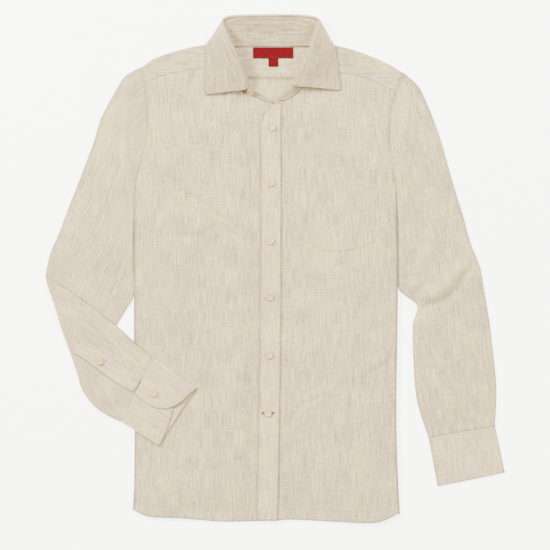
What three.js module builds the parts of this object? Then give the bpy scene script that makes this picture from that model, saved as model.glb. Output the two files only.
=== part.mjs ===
// A long-sleeve shirt laid flat, seen from its front
// Millimetres: X across, Y from hem to collar, Z up from the surface that it lies on
// "Left" and "right" are the wearer's, so the wearer's right side has negative X

import * as THREE from "three";

// Cloth and layers
const WALL = 1.2;
const SEAM_GAP = 0.3;
const LAYER = WALL + SEAM_GAP;
const FIRST_LAYER = WALL / 2;
const HALF_TAPE = LAYER / 2;
const COLOURS = { cloth: 0xdad1c1, trim: 0xe1d8c8, button: 0xe8dcc4, label: 0xa02430 };
const ROUGHNESS = { cloth: 0.9, button: 0.35, label: 0.7 };

// Body: the sides are turned under, so two more layers lie below the back there
const SIDE_X = { right: -219, left: 191 };
const SIDE_TURN = 55;
const SIDE_LEVEL = 2 * LAYER;
const SIDE_FLAT = 62;
const SIDE_FADE = 140;
const TURN_TOP_Y = 131;
const TURN_FULL_Y = 128;
const TURN_FADE_Y = 235;
const ARM_SHARE = 0.8;
const UNDERLAP_X = 10;
const UNDERLAP_FADE_X = 30;
const BUTTON_RADIUS = 5.7;
const BUTTON_HEIGHT = 2.4;
const BUTTON_SIDES = 14;
const HOLE_OFFSET = 1.4;
const HOLE_RADIUS = 0.85;
const HOLE_SIDES = 5;
const BACK_YOKE_Y = 295;
const NECK_TOP_Y = 344;

// Outlines, [x, y], from the hem up or from the neck outwards
const HEM_RIGHT = [[10, -390], [-28, -391], [-79, -392], [-143, -387], [-200, -383], [-218, -374]];
const HEM_LEFT = [[-28, -390], [28, -389], [93, -392], [160, -393], [191, -380]];
const HEM_BACK = [[-218, -374], [-200, -381], [-100, -386], [0, -386], [100, -386], [170, -387], [191, -380]];
const SIDE_RIGHT = [[-218, -374], [-216, -339], [-215, -255], [-216, -111], [-216, 30], [-216, 130], [-211, 158]];
const SIDE_LEFT = [
  [191, -380], [188, -322], [186, -255], [186, -173], [188, -27], [187, 90], [186, 135], [185, 162],
];
const ARMHOLE_RIGHT = [[-211, 158], [-200, 190], [-197, 215], [-198, 246], [-202, 288]];
const ARMHOLE_LEFT = [[185, 162], [179, 184], [177, 207], [180, 246], [188, 272]];
const YOKE_SEAM_RIGHT = [[-67.5, 312], [-108, 310], [-147, 306], [-178, 298], [-202, 288]];
const YOKE_SEAM_LEFT = [[56.5, 312], [104, 302], [132, 298], [155, 290], [188, 272]];
const FRONT_EDGE = { right: [[10, -390], [10, 0]], left: [[-28, -390], [-24, -150], [-22, 91]] };
const NECK_EDGE = { right: [[10, 240]], left: [[-24, 224], [-17, 239], [-6, 252], [3, 257]] };
const PLACKET = {
  free: [...FRONT_EDGE.left, [-24, 222], [-17.5, 237.5], [-5.5, 251.5]],
  seam: [[4, -390], [8, -150], [9.5, 91], [9, 257]],
};
const SHOULDER_RIGHT = [[-207, 311], [-194, 322], [-163, 333], [-132, 341], [-104, 344], [-84, 344]];
const SHOULDER_LEFT = [[198, 303], [178, 315], [147, 328], [116, 338], [90, 344], [74, 344]];
const POCKET = {
  bottom: [[52, 42], [66, 32], [93, 27], [130, 32], [155, 43]],
  top: [[49, 155], [155, 155]],
  front: [[52, 42], [50, 60], [49, 155]],
  side: [[155, 43], [155, 155]],
};

// Collar: one row for each section, from the wearer's right front end round the back to the left one
// seam is the neck seam, fold the crest of the collar, edge the leaf's outer edge; turn is the side on
// which the leaf lies: 0 under the stand at the back, 90 outside it, 180 over it at the front
const COLLAR_ROLL = 2.2;
const COLLAR = [
  { seam: [-3.5, 257, 2.3], fold: [-0.5, 264.5, 4.4], edge: null, turn: 180 },
  { seam: [-17, 259.5, 2.1], fold: [-12.5, 267.3, 5.2], edge: null, turn: 180 },
  { seam: [-31.5, 267.5, 2.1], fold: [-26, 276.2, 6.5], edge: null, turn: 180 },
  { seam: [-47, 274.5, 2.1], fold: [-41.5, 281, 9], edge: [-108, 269, 3.8], turn: 180 },
  { seam: [-56, 283, 2.1], fold: [-45, 297, 13], edge: [-107.5, 280, 3.8], turn: 175 },
  { seam: [-62, 294, 2.1], fold: [-51, 311, 16.5], edge: [-106.5, 292, 3.8], turn: 170 },
  { seam: [-66, 306, 2.1], fold: [-58, 327, 19], edge: [-106.5, 305, 3.8], turn: 165 },
  { seam: [-68, 318, 2.1], fold: [-65, 343, 20.5], edge: [-107, 318, 3.9], turn: 155 },
  { seam: [-69, 329, 2.1], fold: [-71, 357, 20], edge: [-107, 331, 4.2], turn: 140 },
  { seam: [-69.5, 338, 2.1], fold: [-75.5, 371, 17], edge: [-106, 343, 4.6], turn: 115 },
  { seam: [-68, 345, 1.8], fold: [-75, 382, 13], edge: [-99, 351, 2.6], turn: 80 },
  { seam: [-63, 346, 1.2], fold: [-69, 387.5, 10], edge: [-86, 353, 1.2], turn: 45 },
  { seam: [-56, 346, 0.8], fold: [-60.5, 389.5, 8.5], edge: [-70, 353, 0.7], turn: 15 },
  { seam: [-42, 346, 0.6], fold: [-44, 390, 7.5], edge: [-46, 352, 0.6], turn: 0 },
  { seam: [-3, 346, 0.6], fold: [-3, 391, 7], edge: [-3, 352, 0.6], turn: 0 },
  { seam: [32, 346, 0.6], fold: [34, 390, 7.5], edge: [36, 352, 0.6], turn: 0 },
  { seam: [45, 346, 0.8], fold: [49.5, 389.5, 8.5], edge: [57, 353, 0.7], turn: 15 },
  { seam: [52, 346, 1.2], fold: [58, 387.5, 10], edge: [72, 353, 1.2], turn: 45 },
  { seam: [57, 345, 1.8], fold: [64, 382, 13], edge: [84, 350.5, 2.6], turn: 80 },
  { seam: [58.5, 338, 2.1], fold: [64.5, 370, 17], edge: [91, 342, 4.6], turn: 115 },
  { seam: [58, 329, 2.1], fold: [60, 356, 20], edge: [95, 330, 4.2], turn: 140 },
  { seam: [57, 318, 2.1], fold: [55, 342, 20.5], edge: [98, 317, 3.9], turn: 155 },
  { seam: [55, 307, 2.1], fold: [49, 327, 19], edge: [99.5, 304, 3.8], turn: 165 },
  { seam: [51, 296, 2.1], fold: [42, 313, 16.5], edge: [100.5, 293, 3.8], turn: 170 },
  { seam: [45, 285, 2.1], fold: [34, 299, 13], edge: [101.5, 283, 3.8], turn: 175 },
  { seam: [37, 275, 2.4], fold: [26, 286, 10.5], edge: [102, 276, 3.8], turn: 180 },
  { seam: [27, 267, 2.9], fold: [16, 272.5, 8], edge: null, turn: 180 },
  { seam: [16, 261, 3.6], fold: [5, 263, 6.4], edge: null, turn: 180 },
];
const FRONT_NECK_ROWS = { right: [0, 7], left: [22, 28] };
const YOKE_NECK_ROWS = { right: [7, 10], back: [10, 19], left: [19, 22] };
const YOKE_NECK_TOPS = { right: [-80, -76, -72], left: [62, 66, 70] };
const STEEP_SEAM_GAP = SEAM_GAP + 0.65 * WALL;

// Sleeves, [x, y], from the shoulder down
const RIGHT_OVERARM = [
  [-207.5, 312], [-232, 297], [-246, 275], [-259, 252], [-270, 230], [-279, 199],
  [-287, 177], [-302, 137], [-318, 97], [-333, 57], [-349, 18], [-355, -12],
];
const RIGHT_UNDERARM = [
  [-211.5, 158], [-222, 135], [-222, 30], [-223, -43], [-236, -63], [-247, -89], [-272, -142], [-297, -190],
];
const RIGHT_ELBOW = [[-355, -12], [-341, -52], [-329, -91], [-313, -136], [-302, -170], [-297, -190]];
const FOREARM_UPPER = [[-355, -12], [-327, -29], [-291, -54], [-245, -90], [-221, -112], [-190, -139]];
const FOREARM_LOWER = [[-297, -190], [-280, -212], [-262, -225], [-250, -231], [-238, -236]];
const CUFF_SEAM_RIGHT = [[-190, -139], [-214, -188], [-238, -236]];
const CUFF_HEM_RIGHT = [[-122, -186], [-151, -230], [-179, -274]];
const LEFT_OVERARM = [
  [198.5, 304], [222, 281], [232, 261], [245, 230], [256, 199], [267, 160], [277, 125], [290, 83],
  [302, 40], [317, 1], [323, -33], [331, -81], [336, -121], [341, -168], [342, -204], [340, -239], [340, -245],
];
const LEFT_UNDERARM = [
  [185.5, 162], [193, 138], [193, 30], [194, -27], [207, -43], [220, -60], [221, -74], [216, -88],
  [215, -109], [217, -168], [220, -198], [226, -223], [239, -262],
];
const CUFF_SEAM_LEFT = [[340, -245], [288, -253], [239, -262]];
const CUFF_HEM_LEFT = [[355, -316], [303, -327], [253, -337]];
const SLEEVE_LAYER_ABOVE = 2 * LAYER + WALL / 2 + HALF_TAPE;
const ELBOW_AXIS_Z = 2 * LAYER - SEAM_GAP / 2;
const GAUNTLET_EDGE = [[-312, -131], [-293, -142], [-274, -157], [-246, -176], [-220, -191]];
const GAUNTLET_WIDTH = 26;

// Buttons and labels
const FRONT_BUTTONS = [[-5, 219], [-6, 133], [-7, 43], [-8, -44], [-9, -134], [-11, -224]];
const GAUNTLET_BUTTON = [-271, -144];
const CUFF_BUTTON = [-188, -193];
const COLLAR_BUTTON = [-36.5, 271.5];
const COLLAR_BUTTON_BASE = 5.9;
const LABEL_THICKNESS = 1;
const NECK_LABEL = { x: [-34, 28], y: [326, 343] };
const SIZE_TAB = { x: [-10, 5], y: [313, 325.7] };

// Largest folds: a ridge from one point to the other, with its width and height
const FOLDS_FRONT_RIGHT = [
  { from: [-182, 172], to: [-95, 92], width: 15, height: 3.2 },
  { from: [-100, 92], to: [-30, 52], width: 13, height: 2.8 },
  { from: [-172, 78], to: [-96, 60], width: 15, height: 2.4 },
  { from: [-146, -62], to: [-92, -140], width: 15, height: 2.2 },
  { from: [-164, -316], to: [-160, -378], width: 11, height: 2.4 },
  { from: [-112, 250], to: [-62, 222], width: 12, height: 1.8 },
  { from: [-62, -150], to: [-48, -330], width: 20, height: 1.8 },
];
const FOLDS_FRONT_LEFT = [
  { from: [52, -210], to: [100, -180], width: 11, height: 2.4 },
  { from: [110, -190], to: [106, -320], width: 13, height: 2.6 },
  { from: [148, -200], to: [151, -350], width: 13, height: 2.4 },
  { from: [120, -168], to: [178, -136], width: 13, height: 2.2 },
  { from: [40, -225], to: [44, -330], width: 14, height: 2.0 },
  { from: [50, -2], to: [110, -30], width: 15, height: 1.8 },
];
const FOLDS_RIGHT_SLEEVE = [
  { from: [-236, 258], to: [-226, 150], width: 9, height: 2.6 },
  { from: [-262, 210], to: [-240, 120], width: 14, height: 2.2 },
  { from: [-300, 90], to: [-272, -10], width: 18, height: 2.0 },
];
const FOLDS_FOREARM = [
  { from: [-322, -70], to: [-250, -116], width: 14, height: 2.6 },
  { from: [-270, -196], to: [-246, -208], width: 9, height: 2.4 },
];
const FOLDS_LEFT_SLEEVE = [
  { from: [204, 250], to: [200, 140], width: 9, height: 2.6 },
  { from: [300, 4], to: [240, -62], width: 10, height: 4.2 },
  { from: [222, -20], to: [212, -34], width: 8, height: 2.6 },
  { from: [322, -150], to: [334, -222], width: 9, height: 2.4 },
  { from: [250, 90], to: [240, 10], width: 18, height: 2.0 },
  { from: [262, -110], to: [276, -225], width: 16, height: 1.8 },
];

const group = new THREE.Group();

const clamp01 = (value) => Math.min(1, Math.max(0, value));
const mix = (from, to, share) => from + (to - from) * share;

function smooth(from, to, value) {
  const share = clamp01((value - from) / (to - from));
  return share * share * (3 - 2 * share);
}

function steps(count, from = 0, to = 1) {
  return Array.from({ length: count + 1 }, (_, index) => mix(from, to, index / count));
}

// A smooth line through the points of a table, by its share of length
function line(points) {
  const curve = new THREE.CatmullRomCurve3(
    points.map(([x, y, z = 0]) => new THREE.Vector3(x, y, z)), false, "centripetal",
  );
  return (share) => curve.getPointAt(clamp01(share));
}

// Straight lengths from one point to the next, each knot at its own share
function knotted(shares, points) {
  return (at) => {
    const next = Math.max(1, shares.findIndex((share) => share >= at - 1e-9));
    const index = next < shares.length ? next : shares.length - 1;
    const part = (at - shares[index - 1]) / (shares[index] - shares[index - 1]);
    return points[index - 1].clone().lerp(points[index], clamp01(part));
  };
}

function joined(first, second, share) {
  return (at) => (at <= share ? first(at / share) : second((at - share) / (1 - share)));
}

// The area between four lines: low and high run along u, near and far run along v
function patch(low, high, near, far) {
  const corners = [low(0), low(1), high(0), high(1)];
  return (u, v) => {
    const point = new THREE.Vector3();
    point.addScaledVector(low(u), 1 - v).addScaledVector(high(u), v);
    point.addScaledVector(near(v), 1 - u).addScaledVector(far(v), u);
    point.addScaledVector(corners[0], -(1 - u) * (1 - v)).addScaledVector(corners[1], -u * (1 - v));
    point.addScaledVector(corners[2], -(1 - u) * v).addScaledVector(corners[3], -u * v);
    return point;
  };
}

// Height that the ridges of a table add at a place
function relief(folds, x, y) {
  let height = 0;
  for (const fold of folds) {
    const [x0, y0] = fold.from;
    const [dx, dy] = [fold.to[0] - x0, fold.to[1] - y0];
    const length = Math.hypot(dx, dy);
    const along = ((x - x0) * dx + (y - y0) * dy) / length;
    const aside = ((x - x0) * dy - (y - y0) * dx) / length;
    const fade = smooth(-fold.width, fold.width, along) * smooth(length + fold.width, length - fold.width, along);
    height += fold.height * fade * Math.exp(-((aside / fold.width) ** 2));
  }
  return height;
}

// A wall of one thickness around a grid of middle points; null leaves a hole, and ring joins the ends
function wall(rows, thickness, ring = false) {
  const points = [];
  const numbers = new Map();
  const grid = rows.map((row) => row.map((point) => {
    if (!point) return -1;
    const key = `${point.x.toFixed(3)},${point.y.toFixed(3)},${point.z.toFixed(3)}`;
    if (!numbers.has(key)) numbers.set(key, points.push(point) - 1);
    return numbers.get(key);
  }));
  const triangles = [];
  const addTriangle = (a, b, c) => {
    if (a !== b && b !== c && c !== a && Math.min(a, b, c) >= 0) triangles.push([a, b, c]);
  };
  for (let r = 0; r + 1 < grid.length; r += 1) {
    const width = grid[r].length;
    for (let c = 0; c < (ring ? width : width - 1); c += 1) {
      const next = (c + 1) % width;
      addTriangle(grid[r][c], grid[r][next], grid[r + 1][next]);
      addTriangle(grid[r][c], grid[r + 1][next], grid[r + 1][c]);
    }
  }
  const normals = points.map(() => new THREE.Vector3());
  const edges = new Map();
  for (const [a, b, c] of triangles) {
    const across = points[b].clone().sub(points[a]).cross(points[c].clone().sub(points[a]));
    for (const corner of [a, b, c]) normals[corner].add(across);
    for (const [from, to] of [[a, b], [b, c], [c, a]]) edges.set(`${from},${to}`, [from, to]);
  }
  const count = points.length;
  const vertices = [];
  for (const side of [1, -1]) {
    points.forEach((point, index) => {
      const moved = point.clone().addScaledVector(normals[index].clone().normalize(), (side * thickness) / 2);
      vertices.push(moved.x, moved.y, moved.z);
    });
  }
  const faces = [];
  for (const [a, b, c] of triangles) faces.push(a, b, c, c + count, b + count, a + count);
  for (const [from, to] of edges.values()) {
    if (!edges.has(`${to},${from}`)) faces.push(from, from + count, to + count, from, to + count, to);
  }
  const geometry = new THREE.BufferGeometry();
  geometry.setAttribute("position", new THREE.Float32BufferAttribute(vertices, 3));
  geometry.setIndex(faces);
  return geometry;
}

function add(name, geometry, colour, roughness = ROUGHNESS.cloth) {
  geometry.computeVertexNormals();
  const mesh = new THREE.Mesh(geometry, new THREE.MeshStandardMaterial({ color: colour, roughness, metalness: 0 }));
  mesh.name = name;
  group.add(mesh);
  return mesh;
}

// Height of what lies below the back: the layers turned under at the sides, fading at the armholes
function below(x, y) {
  const fromSide = Math.min(x - SIDE_X.right, SIDE_X.left - x);
  return SIDE_LEVEL * smooth(SIDE_FADE, SIDE_FLAT, fromSide) * smooth(TURN_FADE_Y, TURN_FULL_Y, y);
}

const backZ = (x, y) => FIRST_LAYER + below(x, y);
const underlap = (x) => LAYER * smooth(UNDERLAP_FADE_X, UNDERLAP_X + 3, x);

function frontRightZ(x, y) {
  const lift = relief(FOLDS_FRONT_RIGHT, x, y) * smooth(-32, -52, x) * smooth(-212, -192, x);
  return backZ(x, y) + LAYER + lift;
}

function frontLeftZ(x, y) {
  const lift = relief(FOLDS_FRONT_LEFT, x, y) * smooth(20, 40, x) * smooth(184, 164, x);
  return backZ(x, y) + LAYER + underlap(x) + lift;
}

// Body panels: a patch up to the side edge, then a half turn and a strip that lies under
const ARM_ROWS = 6;
const PANEL_ROWS = [...steps(18, 0, ARM_SHARE), ...steps(ARM_ROWS, ARM_SHARE, 1).slice(1)];
const TURN_ANGLES = [45, 90, 135, 180];

function turnedStrip(edge, outward, radius, topZ, y) {
  const points = [];
  for (const angle of TURN_ANGLES) {
    const turn = THREE.MathUtils.degToRad(angle);
    const z = topZ - radius * (1 - Math.cos(turn));
    points.push(new THREE.Vector3(edge.x + outward * radius * Math.sin(turn), y, z));
  }
  for (const inward of [SIDE_TURN / 2, SIDE_TURN]) {
    const slope = y > TURN_TOP_Y - 40 ? inward * 0.35 : 0;
    points.push(new THREE.Vector3(edge.x - outward * inward, y - slope, topZ - 2 * radius));
  }
  return points;
}

// Seams that two pieces share have the same points on both sides, and the pieces keep the gap between them
const pointsOn = (curve, count) => steps(count).map((share) => curve(share));
const armholePoints = {
  right: pointsOn(line(ARMHOLE_RIGHT), ARM_ROWS),
  left: pointsOn(line(ARMHOLE_LEFT), ARM_ROWS),
};
const yokeSeamPoints = {
  right: pointsOn(line(YOKE_SEAM_RIGHT), ARM_ROWS),
  left: pointsOn(line(YOKE_SEAM_LEFT), ARM_ROWS),
};
const seamPoint = (row, outward, away) => new THREE.Vector3(row.seam[0] + outward * away, row.seam[1] - away, 0);
const sideLines = {
  right: joined(line(SIDE_RIGHT), knotted(steps(ARM_ROWS), armholePoints.right), ARM_SHARE),
  left: joined(line(SIDE_LEFT), knotted(steps(ARM_ROWS), armholePoints.left), ARM_SHARE),
};

function frontPanel(name) {
  const right = name === "right";
  const outward = right ? -1 : 1;
  const neckRows = COLLAR.slice(...FRONT_NECK_ROWS[name]);
  if (!right) neckRows.reverse();
  const turnedEdge = NECK_EDGE[name];
  const neckPoints = neckRows.map((row) => seamPoint(row, outward, STEEP_SEAM_GAP));
  const seamPoints = yokeSeamPoints[name].map((point) => new THREE.Vector3(point.x, point.y - SEAM_GAP, 0));
  const topPoints = [...turnedEdge.map(([x, y]) => new THREE.Vector3(x, y, 0)), ...neckPoints, ...seamPoints];
  const columns = topPoints.length - 1;
  const hem = line(right ? HEM_RIGHT : HEM_LEFT);
  const front = line([...FRONT_EDGE[name], turnedEdge[0]]);
  const far = (share) => (share < 1 ? sideLines[name](share) : seamPoints[seamPoints.length - 1].clone());
  const place = patch(hem, knotted(steps(columns), topPoints), front, far);
  const height = right ? frontRightZ : frontLeftZ;
  return PANEL_ROWS.map((v) => {
    const row = steps(columns).map((u) => {
      const point = place(u, v);
      point.z = height(point.x, point.y);
      return point;
    });
    const edge = row[row.length - 1];
    const strip = turnedStrip(edge, outward, 1.5 * LAYER, edge.z, edge.y);
    return row.concat(edge.y < TURN_TOP_Y ? strip : strip.map(() => null));
  });
}

// The seam between back and yoke, level in the middle and lower at the armholes
const BACK_SEAM = [[-202, 288], [-100, BACK_YOKE_Y], [100, BACK_YOKE_Y], [188, 272]];
const backSeamX = [...steps(4, -202, -100), ...steps(9, -100, 100).slice(1), ...steps(4, 100, 188).slice(1)];

function backYokeY(x) {
  const next = Math.max(1, BACK_SEAM.findIndex(([knot]) => knot >= x));
  const [[x0, y0], [x1, y1]] = [BACK_SEAM[next - 1], BACK_SEAM[next]];
  return mix(y0, y1, (x - x0) / (x1 - x0));
}

function backPanel() {
  const hem = line(HEM_BACK);
  const columns = backSeamX.length - 1;
  const top = knotted(steps(columns), backSeamX.map((x) => new THREE.Vector3(x, backYokeY(x), 0)));
  const place = patch(hem, top, sideLines.right, sideLines.left);
  return PANEL_ROWS.map((v) => {
    const row = steps(columns).map((u) => {
      const point = place(u, v);
      point.z = backZ(point.x, point.y);
      return point;
    });
    const [first, last] = [row[0], row[row.length - 1]];
    const turned = first.y < TURN_TOP_Y;
    const rightStrip = turnedStrip(first, -1, 0.5 * LAYER, first.z, first.y).reverse();
    const leftStrip = turnedStrip(last, 1, 0.5 * LAYER, last.z, last.y);
    const none = rightStrip.map(() => null);
    return [...(turned ? rightStrip : none), ...row, ...(turned ? leftStrip : none)];
  });
}

add("back", wall(backPanel(), WALL), COLOURS.cloth);
add("front_right", wall(frontPanel("right"), WALL), COLOURS.cloth);
add("front_left", wall(frontPanel("left"), WALL), COLOURS.cloth);

// Yoke: up the back, over the shoulders and down to the front seams; it ends at the neck between them
// Each column has its place on the back seam, its top on the shoulder or neck, and its front end
function yokeColumns() {
  const shoulder = { right: line(SHOULDER_RIGHT), left: line(SHOULDER_LEFT) };
  const columns = [];
  for (let index = 0; index <= ARM_ROWS; index += 1) {
    columns.push({ top: shoulder.right(index / ARM_ROWS), front: yokeSeamPoints.right[ARM_ROWS - index] });
  }
  const besideNeck = (name, outward) => COLLAR.slice(...YOKE_NECK_ROWS[name]).forEach((row, index) => {
    const top = new THREE.Vector3(YOKE_NECK_TOPS[name][index], NECK_TOP_Y, 0);
    columns.push({ top, front: new THREE.Vector3(row.seam[0] + outward * STEEP_SEAM_GAP, row.seam[1], 0) });
  });
  besideNeck("right", -1);
  for (const row of COLLAR.slice(...YOKE_NECK_ROWS.back)) {
    columns.push({ top: new THREE.Vector3(row.seam[0], row.seam[1] - STEEP_SEAM_GAP, 0), front: null });
  }
  besideNeck("left", 1);
  for (let index = ARM_ROWS; index >= 0; index -= 1) {
    columns.push({ top: shoulder.left(index / ARM_ROWS), front: yokeSeamPoints.left[ARM_ROWS - index] });
  }
  const lowRight = [...steps(4, -202, -100), -92, -84];
  const lowLeft = [84, 92, ...steps(4, 100, 188)];
  return columns.map(({ top, front }, index) => {
    const fromEnd = columns.length - 1 - index;
    let lowX = top.x;
    if (index < lowRight.length) lowX = lowRight[index];
    if (fromEnd < lowLeft.length) lowX = lowLeft[lowLeft.length - 1 - fromEnd];
    return { low: new THREE.Vector3(lowX, backYokeY(lowX) + SEAM_GAP, 0), top, front };
  });
}

function yokePanel() {
  const columns = yokeColumns();
  const rows = [];
  for (const share of [0, 0.35, 0.7, 1]) {
    rows.push(columns.map(({ low, top, front }) => {
      const point = low.clone().lerp(top, share);
      point.y -= front ? HALF_TAPE * share : 0;
      point.z = backZ(point.x, point.y);
      return point;
    }));
  }
  const crest = rows[rows.length - 1];
  for (const angle of [60, 120, 180]) {
    const turn = THREE.MathUtils.degToRad(angle);
    rows.push(columns.map(({ front }, index) => {
      const point = crest[index].clone();
      if (!front) return point;
      point.y += HALF_TAPE * Math.sin(turn);
      point.z += HALF_TAPE * (1 - Math.cos(turn));
      return point;
    }));
  }
  const over = rows[rows.length - 1];
  for (const share of [0.33, 0.67, 1]) {
    rows.push(columns.map(({ front }, index) => {
      if (!front) return crest[index].clone();
      const point = over[index].clone().lerp(front, share);
      point.z = backZ(point.x, point.y) + LAYER;
      return point;
    }));
  }
  return rows;
}

add("yoke", wall(yokePanel(), WALL), COLOURS.cloth);

// Collar: a section goes up the stand from the neck seam, over the roll and out along the leaf
function collarSection(row, index) {
  const before = COLLAR[Math.max(0, index - 1)].fold;
  const after = COLLAR[Math.min(COLLAR.length - 1, index + 1)].fold;
  const seam = new THREE.Vector3(...row.seam);
  const fold = new THREE.Vector3(...row.fold);
  const turn = THREE.MathUtils.degToRad(row.turn);
  const inward = new THREE.Vector3(after[1] - before[1], before[0] - after[0], 0).normalize();
  const toStand = new THREE.Vector3(0, 0, Math.cos(turn)).addScaledVector(inward, Math.sin(turn)).normalize();
  const out = fold.clone().sub(seam);
  out.addScaledVector(toStand, -out.dot(toStand)).normalize();
  const standTop = fold.clone().addScaledVector(toStand, COLLAR_ROLL).addScaledVector(out, -COLLAR_ROLL * 1.6);
  const standMid = seam.clone().lerp(standTop, 0.45);
  const stand = line([seam, standMid, standTop].map((point) => point.toArray()));
  if (!row.edge) return { stand, leaf: null };
  const edge = new THREE.Vector3(...row.edge);
  const crest = fold.clone().addScaledVector(out, COLLAR_ROLL * 0.4);
  const leafTop = fold.clone().addScaledVector(toStand, -COLLAR_ROLL).addScaledVector(out, -COLLAR_ROLL * 1.6);
  const leafMid = leafTop.clone().lerp(edge, 0.5).addScaledVector(toStand, -0.6);
  const rollIn = fold.clone().addScaledVector(toStand, COLLAR_ROLL * 0.9).addScaledVector(out, -COLLAR_ROLL * 0.6);
  const leafStart = standTop.clone().lerp(rollIn, 0.32);
  const leaf = line([leafStart, rollIn, crest, leafTop, leafMid, edge].map((point) => point.toArray()));
  return { stand, leaf };
}

const sections = COLLAR.map(collarSection);
const standRows = sections.map(({ stand }) => steps(4).map(stand));
const leafShares = [0, 0.05, 0.1, 0.16, 0.24, 0.45, 0.7, 1];
const leafRows = sections.filter(({ leaf }) => leaf).map(({ leaf }) => leafShares.map(leaf));
add("collar_stand", wall(standRows, WALL), COLOURS.trim);
add("collar_leaf", wall(leafRows, WALL), COLOURS.trim);

// Placket and pocket lie on the left front, made from its heights
const onLeftFront = (x, y, layers) => new THREE.Vector3(x, y, frontLeftZ(x, y) + layers * LAYER);
const placketFree = line(PLACKET.free);
const placketSeam = line(PLACKET.seam);
const acrossPlacket = (v) => (u) => placketFree(v).lerp(placketSeam(v), u);
const placketPlace = patch(acrossPlacket(0), acrossPlacket(1), placketFree, placketSeam);
const placketRows = steps(28).map((v) => steps(3).map((u) => {
  const point = placketPlace(u, v);
  return onLeftFront(point.x + SEAM_GAP, point.y - 2 * SEAM_GAP, 1);
}));
add("placket_left", wall(placketRows, WALL), COLOURS.trim);

const pocketPlace = patch(line(POCKET.bottom), line(POCKET.top), line(POCKET.front), line(POCKET.side));
const pocketRows = steps(7).map((v) => steps(6).map((u) => {
  const point = pocketPlace(u, v);
  return onLeftFront(point.x, point.y, 1.15);
}));
add("pocket", wall(pocketRows, WALL), COLOURS.cloth);

// A sleeve is a tape of two layers; one ring of points goes round it at each step along it
const YOKE_SHARE = 0.15;
const LAYER_SHARES = [0, ...steps(ARM_ROWS, YOKE_SHARE, 1)];
const TAPE_TURNS = [60, 120];
const LOOK_AROUND = 0.02;

function tapeRing(middle, up, lift) {
  const ring = [];
  const put = (share, angle) => {
    const turn = THREE.MathUtils.degToRad(angle);
    const ahead = middle(Math.min(1, share + LOOK_AROUND));
    const across = ahead.sub(middle(Math.max(0, share - LOOK_AROUND))).normalize();
    const point = middle(share).addScaledVector(up, HALF_TAPE * Math.cos(turn));
    point.addScaledVector(across, (share > 0.5 ? 1 : -1) * HALF_TAPE * Math.sin(turn));
    point.z += lift(share, point, angle);
    ring.push(point);
  };
  for (const share of LAYER_SHARES) put(share, 0);
  for (const angle of TAPE_TURNS) put(1, angle);
  for (const share of [...LAYER_SHARES].reverse()) put(share, 180);
  for (const angle of [...TAPE_TURNS].reverse()) put(0, angle);
  return ring;
}

const UP = new THREE.Vector3(0, 0, 1);
const DOWN = new THREE.Vector3(0, 0, -1);
const visibleLift = (folds, shownAngle) => (share, point, angle) => (
  angle === shownAngle ? relief(folds, point.x, point.y) * smooth(0, 0.12, share) * smooth(1, 0.88, share) : 0
);

// Height below the sleeves near the armholes, where the body is already rising
function belowSleeve(x, y) {
  const outside = Math.max(0, SIDE_X.right - x, x - SIDE_X.left);
  const rise = smooth(TURN_FADE_Y, 158, y) * smooth(60, 150, y);
  return SIDE_LEVEL * 0.85 * rise * smooth(55, 0, outside);
}

function armholeLine(name, shoulderTop, outward) {
  const points = [new THREE.Vector3(...shoulderTop, 0), ...[...armholePoints[name]].reverse()];
  const gapAt = (index) => outward * SEAM_GAP * (index === points.length - 1 ? 2.5 : 1);
  return knotted(LAYER_SHARES, points.map((point, index) => new THREE.Vector3(point.x + gapAt(index), point.y, 0)));
}

function leftSleeveRows() {
  const armhole = armholeLine("left", SHOULDER_LEFT[0], 1);
  const place = patch(armhole, line(CUFF_SEAM_LEFT), line([armhole(0).toArray(), ...LEFT_OVERARM.slice(1)]),
    line([armhole(1).toArray(), ...LEFT_UNDERARM.slice(1)]));
  return [...steps(3, 0, 0.12), ...steps(20, 0.12, 1).slice(1)].map((v) => {
    const middle = (u) => {
      const point = place(u, v);
      point.z = FIRST_LAYER + HALF_TAPE + (v < 0.3 ? belowSleeve(point.x, point.y) : 0);
      return point;
    };
    return tapeRing(middle, UP, visibleLift(FOLDS_LEFT_SLEEVE, 0));
  });
}

add("sleeve_left", wall(leftSleeveRows(), WALL, true), COLOURS.cloth);

function cuffLeftRows() {
  const seam = line(CUFF_SEAM_LEFT.map(([x, y]) => [x + 0.1, y - SEAM_GAP]));
  const hem = line(CUFF_HEM_LEFT);
  return steps(3).map((v) => {
    const middle = (u) => {
      const point = seam(u).lerp(hem(u), v);
      point.z = FIRST_LAYER + HALF_TAPE;
      return point;
    };
    return tapeRing(middle, UP, () => 0);
  });
}

add("cuff_left", wall(cuffLeftRows(), WALL, true), COLOURS.trim);

// The forearm lies on the upper sleeve and then on the body
function forearmMiddleZ(x, y) {
  const rise = x < SIDE_X.right ? SIDE_LEVEL * smooth(-256, -224, x) : below(x, y);
  return SLEEVE_LAYER_ABOVE + rise;
}

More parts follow.
